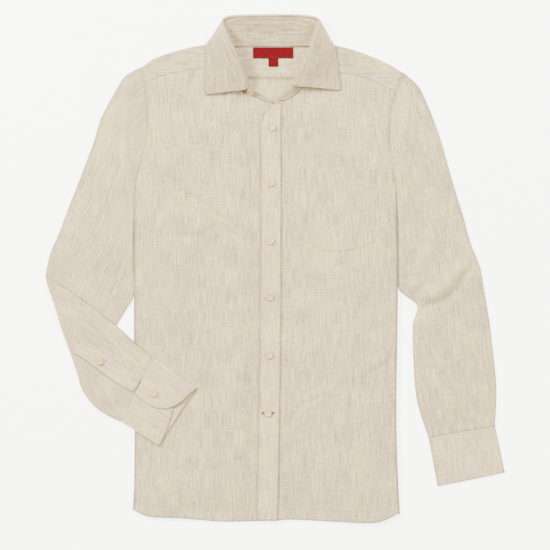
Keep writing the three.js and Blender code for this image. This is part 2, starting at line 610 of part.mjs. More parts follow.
function rightSleeveRows() {
  const armhole = armholeLine("right", SHOULDER_RIGHT[0], -1);
  const elbow = line(RIGHT_ELBOW);
  const upper = patch(armhole, elbow, line([armhole(0).toArray(), ...RIGHT_OVERARM.slice(1)]),
    line([armhole(1).toArray(), ...RIGHT_UNDERARM.slice(1)]));
  const forearm = patch(elbow, line(CUFF_SEAM_RIGHT), line(FOREARM_UPPER), line(FOREARM_LOWER));
  const rows = [...steps(3, 0, 0.14), ...steps(10, 0.14, 1).slice(1)].map((v) => {
    const middle = (u) => {
      const point = upper(u, v);
      point.z = FIRST_LAYER + HALF_TAPE + (v < 0.6 ? belowSleeve(point.x, point.y) : 0);
      return point;
    };
    return tapeRing(middle, UP, visibleLift(FOLDS_RIGHT_SLEEVE, 0));
  });
  const outward = elbow(1).sub(elbow(0)).normalize();
  const away = new THREE.Vector3(outward.y, -outward.x, 0);
  for (const angle of [-45, 0, 45]) {
    const turn = THREE.MathUtils.degToRad(angle);
    const middle = (u) => {
      const point = elbow(u).addScaledVector(away, LAYER * Math.cos(turn));
      point.z = ELBOW_AXIS_Z + LAYER * Math.sin(turn);
      return point;
    };
    const inner = away.clone().multiplyScalar(-Math.cos(turn)).addScaledVector(UP, -Math.sin(turn));
    rows.push(tapeRing(middle, inner, () => 0));
  }
  for (const v of steps(12)) {
    const middle = (u) => {
      const point = forearm(u, v);
      point.z = forearmMiddleZ(point.x, point.y);
      return point;
    };
    rows.push(tapeRing(middle, DOWN, visibleLift(FOLDS_FOREARM, 180)));
  }
  return rows;
}

add("sleeve_right", wall(rightSleeveRows(), WALL, true), COLOURS.cloth);

// Right cuff: one band that starts at its under end, goes below and comes over to the flap
const CUFF_UNDER_SHARE = 0.5;
const CUFF_FLAP_SHARE = 0.56;

function cuffRightRows() {
  const seam = line(CUFF_SEAM_RIGHT);
  const hem = line(CUFF_HEM_RIGHT);
  const place = (share, v, layer, side = 0) => {
    const from = seam(share);
    const to = hem(share);
    const along = to.clone().sub(from).normalize();
    const point = from.addScaledVector(along, SEAM_GAP).lerp(to, v);
    const across = seam(1).sub(seam(0)).normalize();
    point.addScaledVector(across, side);
    point.z = forearmMiddleZ(point.x, point.y) - HALF_TAPE + layer * LAYER;
    return point;
  };
  return steps(7).map((v) => {
    const row = [];
    for (const share of steps(4, CUFF_UNDER_SHARE, 1)) {
      const corner = smooth(CUFF_UNDER_SHARE + 0.3, CUFF_UNDER_SHARE, share);
      row.push(place(share, v * (1 - 0.3 * corner * corner), 1));
    }
    row.push(place(1, v, 0.85, HALF_TAPE * 0.8), place(1, v, 0.15, HALF_TAPE * 0.8));
    for (const share of steps(6, 1, 0)) row.push(place(share, v, 0));
    row.push(place(0, v, 0.35, -HALF_TAPE * 1.6), place(0, v, 1.65, -HALF_TAPE * 1.6));
    for (const share of steps(6, 0, CUFF_FLAP_SHARE)) {
      const corner = smooth(CUFF_FLAP_SHARE - 0.42, CUFF_FLAP_SHARE, share);
      row.push(place(share, v * (1 - 0.42 * corner * corner), 2));
    }
    return row;
  });
}

add("cuff_right", wall(cuffRightRows(), WALL), COLOURS.trim);

const gauntletEdge = line(GAUNTLET_EDGE);
const gauntletRows = steps(8).map((v) => {
  const edge = gauntletEdge(v);
  const away = gauntletEdge(1).sub(gauntletEdge(0)).normalize();
  return steps(3).map((u) => {
    const taper = smooth(0, 0.15, v + 0.1);
    const point = edge.clone().addScaledVector(new THREE.Vector3(-away.y, away.x, 0), u * GAUNTLET_WIDTH * taper);
    const lift = relief(FOLDS_FOREARM, point.x, point.y);
    point.z = forearmMiddleZ(point.x, point.y) + HALF_TAPE + LAYER + lift + SEAM_GAP;
    return point;
  });
});
add("gauntlet_right", wall(gauntletRows, WALL), COLOURS.trim);

// Buttons with four holes
const circle = (x, y, radius, sides) => steps(sides).slice(1).map((share) => (
  new THREE.Vector2(x + radius * Math.cos(share * 2 * Math.PI), y + radius * Math.sin(share * 2 * Math.PI))
));

function buttonGeometry() {
  const outline = new THREE.Shape(circle(0, 0, BUTTON_RADIUS, BUTTON_SIDES));
  for (const [x, y] of [[1, 1], [-1, 1], [-1, -1], [1, -1]]) {
    outline.holes.push(new THREE.Path(circle(x * HOLE_OFFSET, y * HOLE_OFFSET, HOLE_RADIUS, HOLE_SIDES)));
  }
  return new THREE.ExtrudeGeometry(outline, { depth: BUTTON_HEIGHT, bevelEnabled: false });
}

function addButton(name, x, y, base) {
  const mesh = add(name, buttonGeometry(), COLOURS.button, ROUGHNESS.button);
  mesh.position.set(x, y, base + WALL / 2 + SEAM_GAP);
}

FRONT_BUTTONS.forEach(([x, y], index) => addButton(`button_front_${index + 1}`, x, y, onLeftFront(x, y, 1).z));
addButton("button_gauntlet", ...GAUNTLET_BUTTON, forearmMiddleZ(...GAUNTLET_BUTTON) + HALF_TAPE + LAYER + WALL / 2);
addButton("button_cuff", ...CUFF_BUTTON, forearmMiddleZ(...CUFF_BUTTON) + HALF_TAPE + LAYER);
addButton("button_collar", ...COLLAR_BUTTON, COLLAR_BUTTON_BASE);

// Neck label and its small tab, on the inside of the yoke
function addLabel(name, { x: [x0, x1], y: [y0, y1] }) {
  const z = FIRST_LAYER + WALL / 2 + SEAM_GAP + LABEL_THICKNESS / 2;
  const rows = steps(1).map((v) => steps(1).map((u) => new THREE.Vector3(mix(x0, x1, u), mix(y0, y1, v), z)));
  add(name, wall(rows, LABEL_THICKNESS), COLOURS.label, ROUGHNESS.label);
}

addLabel("neck_label", NECK_LABEL);
addLabel("size_tab", SIZE_TAB);

// The origin is the middle of the whole shirt, on the surface
group.updateMatrixWorld(true);
const middle = new THREE.Box3().setFromObject(group, true).getCenter(new THREE.Vector3());
for (const mesh of group.children) mesh.position.add(new THREE.Vector3(-middle.x, -middle.y, 0));

export default group;
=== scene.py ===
"""A long-sleeve shirt of linen-look cloth, laid flat with its front up and one sleeve folded over.

Lengths in the tables are millimetres in the shirt's own plan: X across, Y from hem to collar, Z up.
"Left" and "right" are the wearer's, so the wearer's right side has negative X.
"""

import math

import bpy
import numpy as np
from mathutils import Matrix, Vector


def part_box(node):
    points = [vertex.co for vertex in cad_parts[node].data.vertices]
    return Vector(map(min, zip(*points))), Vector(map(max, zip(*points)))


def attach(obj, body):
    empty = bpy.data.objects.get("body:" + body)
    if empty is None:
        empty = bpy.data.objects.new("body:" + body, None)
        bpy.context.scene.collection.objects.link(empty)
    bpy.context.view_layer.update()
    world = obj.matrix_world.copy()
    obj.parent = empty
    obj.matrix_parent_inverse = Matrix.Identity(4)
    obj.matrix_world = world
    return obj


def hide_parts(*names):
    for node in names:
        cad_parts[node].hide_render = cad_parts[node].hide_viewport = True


MM = 0.001
TINY = 1e-9

# Cloth and layers
WALL = 1.2
CLOTH = 0.9
SEAM_GAP = 0.3
LAYER = WALL + SEAM_GAP
FIRST_LAYER = WALL / 2
HALF_TAPE = LAYER / 2
EDGE_REACH = 0.45

UP = np.array([0.0, 0.0, 1.0])
OUTWARD = {"right": -1, "left": 1}

# Body: the sides are turned under, so two more layers lie below the back there
SIDE_X = {"right": -219, "left": 191}
SIDE_TURN = 55
SIDE_LEVEL = 2 * LAYER
SIDE_FLAT = 62
SIDE_FADE = 140
TURN_TOP_Y = 131
TURN_FULL_Y = 128
TURN_FADE_Y = 235
STRIP_SHARES = (0.12, 0.3, 0.5, 0.75, 1.0)
STRIP_SLOPE = 0.35
STRIP_SLOPE_Y = 91
TURN_ANGLES = np.radians([15, 35, 55, 75, 95, 115, 135, 155, 180])
FRONT_TURN_RADIUS = 1.5 * LAYER
BACK_TURN_RADIUS = 0.5 * LAYER
ARM_SHARE = 0.8
ARM_ROWS = 6
UNDERLAP_FADE = (30, 13)
BODY_LENGTH = 700.0
FRONT_WIDTH = 215.0
BACK_LENGTH = 680.0
BACK_TOP = {"x": (-202, -100, 100, 188), "y": (288, 295, 295, 272)}
NECK_TOP_Y = 348

# Outlines, (x, y), from the hem up or from the neck outwards
HEM = {
    "right": [(10, -390), (-28, -391), (-79, -392), (-143, -387), (-200, -383), (-218, -374)],
    "left": [(-28, -390), (28, -389), (93, -392), (160, -393), (191, -380)],
}
HEM_BACK = [(-218, -374), (-200, -381), (-100, -386), (0, -386), (100, -386), (170, -387), (191, -380)]
SIDE = {
    "right": [(-218, -374), (-216, -339), (-215, -255), (-216, -111), (-216, 30), (-216, 130), (-211, 158)],
    "left": [
        (191, -380), (188, -322), (186, -255), (186, -173), (188, -27), (187, 90), (186, 135), (185, 162),
    ],
}
ARMHOLE = {
    "right": [(-211, 158), (-200, 190), (-197, 215), (-198, 246), (-202, 288)],
    "left": [(185, 162), (179, 184), (177, 207), (180, 246), (188, 272)],
}
YOKE_SEAM = {
    "right": [(-67.5, 312), (-108, 310), (-147, 306), (-178, 298), (-202, 288)],
    "left": [(56.5, 312), (104, 302), (132, 298), (155, 290), (188, 272)],
}
FRONT_EDGE = {"right": [(10, -390), (10, 0)], "left": [(-27, -390), (-23, -150), (-21, 91), (-21.4, 180)]}
NECK_EDGE = {
    "right": [(10, 240)],
    "left": [(-21.8, 221), (-18.6, 232), (-13.6, 241.4), (-6, 250), (3, 256.5)],
}
PLACKET_WIDTH = 32
PLACKET = {
    "free": [
        (-28, -390), (-24, -150), (-22, 91), (-22, 160), (-22.8, 205), (-22.8, 222), (-20, 232.5),
        (-15, 242), (-8, 250.5), (-1.5, 255.6),
    ],
    "seam": [(4, -390), (8, -150), (9.5, 91), (9, 257)],
}
SHOULDER = {
    "right": [(-207, 311), (-194, 322), (-163, 334), (-132, 342.5), (-104, 347.5), (-84, 348.5)],
    "left": [(198, 303), (178, 315.5), (147, 329.5), (116, 340.5), (90, 346.5), (74, 348)],
}
POCKET = {
    "bottom": [(52, 42), (66, 32), (93, 27), (130, 32), (155, 43)],
    "top": [(49, 155), (155, 155)],
    "front": [(52, 42), (50, 60), (49, 155)],
    "side": [(155, 43), (155, 155)],
}
POCKET_SIZE = (105.0, 122.0)
POCKET_HEM = 24.0
POCKET_CLOTH = 0.4
POCKET_LIFT = (CLOTH + POCKET_CLOTH) / 2 + 0.04

# Collar sections, from the wearer's right front end round the back to the left one:
# neck seam, crest of the collar, outer edge of the leaf, and the side on which the leaf lies in degrees
# (0 under the stand at the back, 90 outside it, 180 over it at the front)
COLLAR_ROLL = 2.2
COLLAR = [
    ((-3.5, 257, 2.3), (-0.5, 264.5, 4.4), None, 180),
    ((-17, 259.5, 2.1), (-12.5, 267.3, 5.6), None, 180),
    ((-31.5, 267.5, 2.1), (-26, 276.2, 7), None, 180),
    ((-47, 274.5, 2.1), (-41.5, 280.5, 9), (-108, 269, 3.8), 180),
    ((-56, 283, 2.1), (-43.5, 295, 13), (-107.5, 280, 3.8), 175),
    ((-62, 294, 2.1), (-50, 311, 16.5), (-106.5, 292, 3.8), 170),
    ((-66, 306, 2.1), (-57.5, 327, 19), (-106.5, 305, 3.8), 165),
    ((-68, 318, 2.1), (-65, 343, 20.5), (-107, 318, 3.9), 155),
    ((-69, 329, 2.1), (-72, 357, 20), (-107, 331, 4.2), 140),
    ((-69.5, 338, 2.1), (-78.5, 371, 17), (-107, 345, 4.6), 115),
    ((-68, 345, 1.8), (-82, 381.5, 13), (-104, 350.5, 2.6), 80),
    ((-63, 346, 1.2), (-78.5, 387.5, 10), (-92, 353, 1.2), 45),
    ((-56, 346, 0.8), (-70, 390.5, 8.5), (-73, 353, 0.7), 15),
    ((-42, 346, 0.6), (-50, 392, 7.5), (-49, 352, 0.6), 0),
    ((-3, 346, 0.6), (-3, 392.8, 7), (-3, 352, 0.6), 0),
    ((32, 346, 0.6), (36, 392.3, 7.5), (38, 352, 0.6), 0),
    ((45, 346, 0.8), (56, 390.5, 8.5), (60, 353, 0.7), 15),
    ((52, 346, 1.2), (66, 387.5, 10), (78, 353, 1.2), 45),
    ((57, 345, 1.8), (69.5, 381.5, 13), (88.5, 350, 2.6), 80),
    ((58.5, 338, 2.1), (66.5, 370, 17), (92.5, 343, 4.6), 115),
    ((58, 329, 2.1), (60, 356, 20), (95.5, 330, 4.2), 140),
    ((57, 318, 2.1), (54.5, 342, 20.5), (98, 317, 3.9), 155),
    ((55, 307, 2.1), (48.5, 327, 19), (99.5, 304, 3.8), 165),
    ((51, 296, 2.1), (41, 313, 16.5), (100.5, 293, 3.8), 170),
    ((45, 285, 2.1), (33.5, 299, 13), (101.5, 283, 3.8), 175),
    ((37, 275, 2.4), (26, 286, 10.5), (102, 276, 3.8), 180),
    ((26, 266.5, 2.9), (14.5, 274.6, 8), None, 180),
    ((14, 260.5, 3.6), (0.5, 263.3, 6.4), None, 180),
]
FRONT_NECK_ROWS = {"right": (0, 7), "left": (22, 28)}
YOKE_NECK_ROWS = {"right": (7, 10), "back": (10, 19), "left": (19, 22)}
YOKE_NECK_TOPS = {"right": (-80, -76, -72), "left": (62, 66, 70)}
YOKE_LOW_RIGHT = (*np.linspace(-202, -100, 5), -92, -84)
YOKE_LOW_LEFT = (84, 92, *np.linspace(100, 188, 5))
YOKE_BACK_STEPS = 11
YOKE_TURNS = np.radians([30, 60, 90, 120, 150, 180])
YOKE_FRONT_SHARES = (0.1, 0.2, 0.3, 0.4, 0.5, 0.6, 0.7, 0.8, 0.88, 0.95, 1.0)
YOKE_FINE_STEPS = 5
STEEP_SEAM_GAP = SEAM_GAP + 0.65 * WALL
COLLAR_STEPS = 14
STAND_LAP = 2.0
STAND_HEIGHT = 45.0
STAND_SHARES = np.array([
    0, 0.05, 0.08, 0.1, 0.12, 0.15, 0.22, 0.32, 0.43, 0.54, 0.65, 0.76, 0.83, 0.86, 0.89, 0.94, 1,
])
STAND_STITCHES = ({"column": 3, "height": 4.5, "depth": 0.4}, {"column": 13, "height": 38.7, "depth": 0.3})
STAND_WAVES = ((-48, 0.9), (-6, 0.8), (40, 0.6))
STAND_WAVE_WIDTH = 5.0
LEAF_CLOTH = 1.0
LEAF_SHARES = np.array([
    0, 0.03, 0.06, 0.09, 0.12, 0.15, 0.19, 0.24, 0.3, 0.38, 0.47, 0.56, 0.65, 0.74,
]) / 0.74
LEAF_MARKS = np.array([6.4, 5.7, 5.0, 4.3, 3.6, 0.9])
LEAF_MARKS_START = 8.0
LEAF_STITCH_COLUMN = -4
LEAF_END_ROW = 5
LEAF_END_COLUMN = 4

# Sleeves, (x, y), from the shoulder down
RIGHT_OVERARM = [
    (-207.5, 312), (-232, 297), (-246, 275), (-259, 252), (-270, 230), (-279, 199),
    (-287, 177), (-302, 137), (-318, 97), (-333, 57), (-349, 18), (-355, -12),
]
RIGHT_UNDERARM = [
    (-211.5, 158), (-213.9, 146), (-217, 133), (-219.4, 122), (-219.5, 90), (-219.1, 45), (-219.2, 5),
    (-220.2, -44), (-231, -62.5), (-247, -90), (-272, -142), (-297, -190),
]
RIGHT_ELBOW = [(-355, -12), (-341, -52), (-329, -91), (-313, -136), (-302, -170), (-297, -190)]
FOREARM_UPPER = [(-355, -12), (-327, -29), (-291, -54), (-245, -90), (-221, -112), (-190, -139)]
FOREARM_LOWER = [(-297, -190), (-280, -212), (-262, -225), (-250, -231), (-238, -236)]
CUFF_SEAM_RIGHT = [(-190, -139), (-214, -188), (-238, -236)]
CUFF_HEM_RIGHT = [(-122, -186), (-151, -230), (-179, -274)]
LEFT_OVERARM = [
    (198.5, 304), (222, 281), (232, 261), (245, 230), (256, 199), (267, 160), (277, 125), (290, 83),
    (302, 40), (317, 1), (323, -33), (331, -81), (336, -121), (341, -168), (342, -204), (340, -239),
    (340, -245),
]
LEFT_UNDERARM = [
    (185.5, 162), (185.6, 148), (186.9, 134), (188.7, 123), (188.9, 90), (189.9, 30), (191, -20),
    (191.6, -26), (193, -32), (197.5, -37), (206.5, -44), (219.5, -54), (221.8, -60), (218.5, -72),
    (215, -84), (214.2, -101), (217, -168), (220, -198), (226, -223), (239, -262),
]
CUFF_SEAM_LEFT = [(340, -245), (288, -253), (239, -262)]
CUFF_HEM_LEFT = [(355, -316), (303, -327), (253, -337)]
SLEEVE_LAYER_ABOVE = 2 * LAYER + WALL / 2 + HALF_TAPE
ELBOW_AXIS_Z = 2 * LAYER - SEAM_GAP / 2
GAUNTLET_EDGE = [(-312, -131), (-293, -142), (-274, -157), (-246, -176), (-220, -191)]
GAUNTLET_WIDTH = 26
GAUNTLET_END_ROWS = (2, 12)
CUFF_DEPTH = {"left": 72.0, "right": 82.0}
CUFF_SEAM_SIDE = 0.1
UNDERARM_GAP = 2.5
CUFF_UNDER_SHARE = 0.5
CUFF_FLAP_SHARE = 0.56
CUFF_UNDER_EDGE = [(-158, -214), (-159, -222), (-163, -236), (-170, -256), (-179, -274)]
CUFF_FLAP_EDGE = [
    (-122, -186), (-134, -196), (-146, -207.5), (-160, -214.5), (-174, -217), (-189, -213.5),
    (-202, -206.5), (-211, -199),
]

# Sleeves are tapes of two layers that are joined by these turns at both sides
YOKE_SHARE = 0.15
LAYER_SHARES = np.array([0, *np.linspace(YOKE_SHARE, 1, ARM_ROWS + 1)])
TAPE_TURNS = np.radians([30, 60, 90, 120, 150])
ELBOW_TURNS = np.radians([-70, -50, -30, -10, 10, 30, 50, 70])
SLEEVE_ALONG = np.array([0.17, -0.985, 0.0])
SLEEVE_ACROSS = np.array([0.985, 0.17, 0.0])

# Where folds, loft and the layers below come in: none at the first value, all at the second
HEM_FADE = (-388, -340)
COLLAR_FADE = (262, 215)
RIGHT_SIDE_FADE = (-214, -192)
RIGHT_PLACKET_FADE = (-30, -52)
UNDER_SLEEVE_FADES = {"x": (-118, -128), "top": (-24, -60), "bottom": (-300, -280)}
LEFT_SIDE_FADE = (186, 164)
LEFT_FOLD_FADE = (20, 40)
LEFT_CREASE_FADE = (-20, 12)
LEFT_LOFT_FADE = (14, 44)
UNDERARM_FADES = {"top": (TURN_FADE_Y, 158), "bottom": (60, 150), "outside": (55, 0)}
UNDERARM_LEVEL = 0.85 * SIDE_LEVEL
FOREARM_STEP = (-256, -224)
ELBOW_FADE = (-20, 20)

CREASE_GAIN = 2.6
LOFT = 1.8
LOWEST_DIP = -0.45
LOWEST_TAPE_DIP = -0.25
RIPPLE = 0.15
FINE_RIPPLE = 0.07
PUCKER = 0.16

# Folds of the solids and finer creases: from, to, width, height (below zero for a valley)
FOLDS_FRONT_RIGHT = [
    ((-182, 172), (-95, 92), 15, 3.2),
    ((-100, 92), (-30, 52), 13, 2.8),
    ((-172, 78), (-96, 60), 15, 2.4),
    ((-146, -62), (-92, -140), 15, 2.2),
    ((-164, -316), (-160, -378), 11, 2.4),
    ((-112, 250), (-62, 222), 12, 1.8),
    ((-62, -150), (-48, -330), 20, 1.8),
]
CREASES_FRONT_RIGHT = [
    ((-184, 158), (-143, 120), 5, -0.7),
    ((-143, 120), (-85, 82), 5, -0.8),
    ((-85, 82), (-40, 52), 5, -0.7),
    ((-177, 92), (-147, 62), 5, -0.6),
    ((-147, 50), (-119, 48), 5, -0.5),
    ((-119, 48), (-85, 70), 5, -0.5),
    ((-85, 66), (-34, 36), 5, -0.6),
    ((-108, 238), (-68, 219), 5, -0.5),
    ((-60, 292), (-74, 238), 7, 0.6),
    ((-162, -280), (-162, -363), 5, -0.6),
    ((-60, -295), (-36, -303), 4, -0.7),
    ((-58, -250), (-36, -248), 4, -0.5),
    ((-70, -60), (-40, -200), 9, 0.6),
    ((-100, -250), (-96, -370), 9, 0.7),
    ((-128, -290), (-124, -370), 6, -0.4),
    ((-190, 40), (-150, 0), 8, 0.6),
    ((-150, 240), (-130, 180), 9, 0.6),
    ((-190, 250), (-178, 200), 8, 0.6),
    ((-60, 180), (-52, 110), 9, 0.5),
]
FOLDS_FRONT_LEFT = [
    ((52, -210), (100, -180), 11, 2.4),
    ((110, -190), (106, -320), 13, 2.6),
    ((148, -200), (151, -350), 13, 2.4),
    ((120, -168), (178, -136), 13, 2.2),
    ((40, -225), (44, -330), 14, 2.0),
    ((50, -2), (110, -30), 15, 1.8),
]
CREASES_FRONT_LEFT = [
    ((34, 203), (62, 218), 6, 0.6),
    ((79, 184), (119, 169), 6, 0.6),
    ((30, -8), (85, -24), 5, -0.5),
    ((143, -163), (176, -147), 5, -0.6),
    ((24, -240), (40, -212), 5, -0.7),
    ((40, -212), (81, -196), 5, -0.7),
    ((122, -180), (117, -250), 5, -0.6),
    ((117, -250), (119, -314), 5, -0.6),
    ((138, -235), (141, -346), 5, -0.5),
    ((70, -250), (72, -360), 8, 0.6),
    ((165, -60), (172, -250), 9, 0.6),
    ((60, 260), (70, 180), 9, 0.6),
    ((150, 260), (140, 190), 9, 0.6),
    ((120, -50), (160, -90), 9, 0.6),
    ((90, -60), (60, -130), 9, 0.5),
]
FOLDS_RIGHT_SLEEVE = [
    ((-236, 258), (-226, 150), 9, 2.6),
    ((-262, 210), (-240, 120), 14, 2.2),
    ((-300, 90), (-272, -10), 18, 2.0),
    ((-240, 262), (-229, 222), 4, -0.8),
    ((-229, 222), (-221, 165), 4, -0.9),
    ((-252, 200), (-232, 130), 5, -0.6),
    ((-310, 60), (-330, -10), 9, 0.7),
    ((-250, 70), (-240, 0), 8, 0.7),
    ((-284, 150), (-270, 110), 7, 0.6),
    ((-262, 20), (-256, -40), 5, -0.5),
]
FOLDS_FOREARM = [
    ((-322, -70), (-250, -116), 14, 2.6),
    ((-270, -196), (-246, -208), 9, 2.4),
]
CREASES_FOREARM = [
    ((-250, -100), (-204, -140), 4, -0.7),
    ((-238, -122), (-204, -150), 3.5, -0.7),
    ((-320, -40), (-280, -70), 8, 0.6),
    ((-334, -60), (-322, -110), 7, 0.6),
    ((-290, -120), (-262, -140), 6, 0.5),
    ((-280, -202), (-244, -216), 4, -0.6),
    ((-312, -150), (-296, -178), 6, 0.6),
]
FOLDS_LEFT_SLEEVE = [
    ((204, 250), (200, 140), 9, 2.6),
    ((226, -44), (258, -37), 9, 3.6),
    ((258, -37), (288, 6), 10, 4.2),
    ((222, -20), (212, -34), 8, 2.6),
    ((322, -150), (334, -222), 9, 2.4),
    ((250, 90), (240, 10), 18, 2.0),
    ((262, -110), (276, -225), 16, 1.8),
    ((228, -61), (265, -52), 6, -2.6),
    ((265, -52), (286, -31), 6, -3.0),
    ((286, -31), (300, -2), 6, -2.4),
    ((198, -14), (214, -12), 3, -1.2),
    ((244, 22), (216, -10), 7, 0.8),
    ((316, -150), (330, -228), 4, -0.9),
    ((282, -239), (310, -238), 4, -0.7),
    ((246, -80), (240, -160), 9, 0.8),
    ((300, -60), (306, -140), 9, 0.7),
    ((210, 236), (204, 160), 4, -0.7),
    ((262, 150), (250, 90), 8, 0.6),
    ((284, 90), (278, 20), 8, 0.6),
    ((290, -180), (296, -236), 7, 0.6),
    ((252, -200), (258, -244), 6, 0.6),
]

# Painted shade where contact shadow falls along edges, folds and seams: colours that multiply the cloth's and
# the buttons' own there, and the share of it at a seam and at other edges (the buttons' tone is partly their
# own golden-brown rim)
PAINTED_SHADE_TONE = (0.54, 0.50, 0.49)
BUTTON_RIM_AND_SHADE_TONE = (0.62, 0.42, 0.22)
SEAM_PAINTED_SHADE = 0.42
CUFF_PAINTED_SHADE = 0.2
GAUNTLET_EDGE_SHADE = 0.1
POCKET_EDGE_SHADE = 0.08
FOLD_PAINTED_SHADE = 0.45
SIDE_PAINTED_SHADE = 0.4
CUFF_UNDER_EDGE_SHADE = 0.7
CUFF_HEM_SHADE = 0.6

# Noises that make up the yarns and the drift from mauve to cream: scale across and along, offset,
# detail and weight
YARNS = (
    ((0.66, 0.032), (3, 5, 0), 2.0, 0.42),
    ((0.036, 0.7), (11, 2, 4), 2.0, 0.2),
    ((1.1, 0.16), (7, 1, 9), 2.0, 0.22),
    ((0.16, 1.1), (2, 8, 13), 2.0, 0.16),
)
COLOUR_DRIFT = (
    ((0.36, 0.022), (5, 9, 21), 3.0, 0.6),
    ((0.018, 0.016), (8, 4, 31), 3.0, 0.4),
)
FINE_GRAIN = (900, 900, 900)

# Steps of the grids, in millimetres where they are pitches
FRONT_PITCH = {"across": 3.0, "up": 3.2}
BACK_COLUMNS = 70
BACK_PITCH = 6.0
POCKET_PITCH = 3.0
CUFF_PITCH = 4.0
NARROW_PITCH = 2.6
PLACKET_ROWS = 216
LEFT_SLEEVE_GRID = {"columns": 48, "rows": 178}
RIGHT_SLEEVE_GRID = {"columns": 52, "upper_rows": 104, "lower_rows": 96}
LEFT_CUFF_COLUMNS = 40
RIGHT_CUFF_COLUMNS = {"under": 16, "below": 20, "flap": 36}
GAUNTLET_ROWS = 44
LABEL_GRID = {"columns": 33, "rows": 13}

# Stitching
STITCH_BENDS = (0.22, 0.78)
STITCH_LENGTH = 2.4
STITCH_PITCH = 3.2
STITCH_RADIUS = 0.26
GROOVE_DEPTH = 0.28
PLACKET_GROOVE = 0.18
CUFF_GROOVE = 0.2
SHALLOW_GROOVE = 0.1
GROOVE_WIDTH = 0.9
GROOVE_STEPS = (-1.6, -0.8, 0.0, 0.8, 1.6)
EDGE_STITCH = 5.0
CLOSE_STITCH = 1.6
HEM_STITCH = 15.0
ARMHOLE_STITCH = 9.0

# Buttons, buttonholes and labels
FRONT_BUTTONS = 6
BUTTON_SIDES = 56
BUTTON_RADII = np.array([
    0.4, 0.8, 1.1, 1.4, 1.7, 2.0, 2.3, 2.6, 2.9, 3.3, 3.8, 4.2, 4.5, 4.8, 5.1, 5.4, 5.6, 5.7,
])
BUTTON_RADIUS = BUTTON_RADII[-1]
BUTTON_THREAD_RADIUS = 0.3
BUTTON_THREAD_LIFT = 0.12
BUTTON_THREAD_OFFSETS = (-0.26, 0.26)
BUTTON_HEIGHT = 2.2
RIM_WIDTH = 1.3
RIM_HEIGHT = 0.7
HOLE_OFFSET = 1.4
HOLE_RADIUS = 0.72
HOLE_DEPTH = 1.5
COLLAR_BUTTON_LEAN = {"turn": math.radians(-14), "tilt": math.radians(48), "moved": (-1.2, 2.2, 1.2)}
BUTTONHOLE = {"shift": (0.0, 0.4), "length": 15.0, "angle": math.pi / 2, "width": 2.4, "radius": 0.7}
RED_BUTTONHOLE = {"shift": (0.2, 0.0), "length": 18.5, "angle": 0.0, "width": 3.0, "radius": 0.85}
BUTTONHOLE_STEPS = 72
BUTTONHOLE_SIDES = 8
NECK_LABEL = {"x": (-34, 28), "y": (326, 343)}
SIZE_TAB = {"x": (-10, 5), "y": (313, 325.7)}
LABEL_Z = WALL + SEAM_GAP + 0.5
LABEL_WALL = 0.6

# Stage: the floor is a plain white table, lit by an even glow of its own besides the lamps
FLOOR_HALF = 6.0
FLOOR_GLOW = 3.6
WORLD_COLOUR = (1.0, 0.96, 0.88)
WORLD_STRENGTH = 1.15
LAMP_COLOUR = (1.0, 0.955, 0.87)
LAMPS = {
    "soft_left": {"place": (-4.3, 2.4, 3.1), "size": 1.4, "power": 1050.0},
    "soft_right": {"place": (4.6, 0.4, 3.6), "size": 2.0, "power": 360.0},
    "soft_top": {"place": (0.5, 4.6, 3.8), "size": 2.0, "power": 620.0},
}
CAMERA_HEIGHT = 7.0
VIEW_WIDTH = 0.8525
VIEW_CENTRE = (0.0, -10.0)
SENSOR = 36.0

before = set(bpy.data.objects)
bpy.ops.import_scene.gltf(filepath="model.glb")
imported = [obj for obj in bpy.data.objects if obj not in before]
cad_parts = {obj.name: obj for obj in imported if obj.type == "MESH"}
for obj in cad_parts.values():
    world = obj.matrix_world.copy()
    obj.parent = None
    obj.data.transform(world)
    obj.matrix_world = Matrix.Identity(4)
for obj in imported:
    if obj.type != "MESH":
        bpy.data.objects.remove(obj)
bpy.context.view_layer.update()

# The solids are centred on their common box, so the plan moves by the same step
label_low, label_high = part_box("neck_label")
SHIFT = np.array([
    (label_low[0] + label_high[0]) / 2 - MM * sum(NECK_LABEL["x"]) / 2,
    (label_low[1] + label_high[1]) / 2 - MM * sum(NECK_LABEL["y"]) / 2,
    0.0,
])


def smooth(start, end, value):
    share = np.clip((value - start) / (end - start), 0.0, 1.0)
    return share * share * (3 - 2 * share)


def with_height(points):
    return np.array([(*point, 0.0)[:3] for point in points], float)


def knotted(shares, points):
    """Straight lengths from point to point, each knot at its own share."""
    points = np.asarray(points, float)
    columns = range(points.shape[1])
    return lambda at: np.stack([np.interp(at, shares, points[:, axis]) for axis in columns], -1)


def hermite(start, end, start_slope, end_slope, t):
    return (
        start * (2 * t**3 - 3 * t**2 + 1) + start_slope * (t**3 - 2 * t**2 + t)
        + end * (3 * t**2 - 2 * t**3) + end_slope * (t**3 - t**2)
    )


def line(points, per_span=24):
    """A smooth line through the points, by its share of length.

    The slopes weigh the spans by the root of their length, so the line doesn't overshoot at corners.
    """
    points = with_height(points) if not isinstance(points, np.ndarray) else points
    ends = np.vstack([2 * points[0] - points[1], points, 2 * points[-1] - points[-2]])
    t = np.linspace(0, 1, per_span, endpoint=False)[:, None]
    dense = []
    for index in range(len(points) - 1):
        p0, p1, p2, p3 = ends[index:index + 4]
        d0, d1, d2 = (math.sqrt(np.linalg.norm(b - a)) or 1.0 for a, b in ((p0, p1), (p1, p2), (p2, p3)))
        start = ((p1 - p0) / d0 - (p2 - p0) / (d0 + d1) + (p2 - p1) / d1) * d1
        end = ((p2 - p1) / d1 - (p3 - p1) / (d1 + d2) + (p3 - p2) / d2) * d1
        dense.append(hermite(p1, p2, start, end, t))
    dense = np.vstack([*dense, points[-1:]])
    lengths = steps_along(dense)
    return knotted(lengths / lengths[-1], dense)


def point_at(curve, share):
    return curve(np.array([share]))[0]


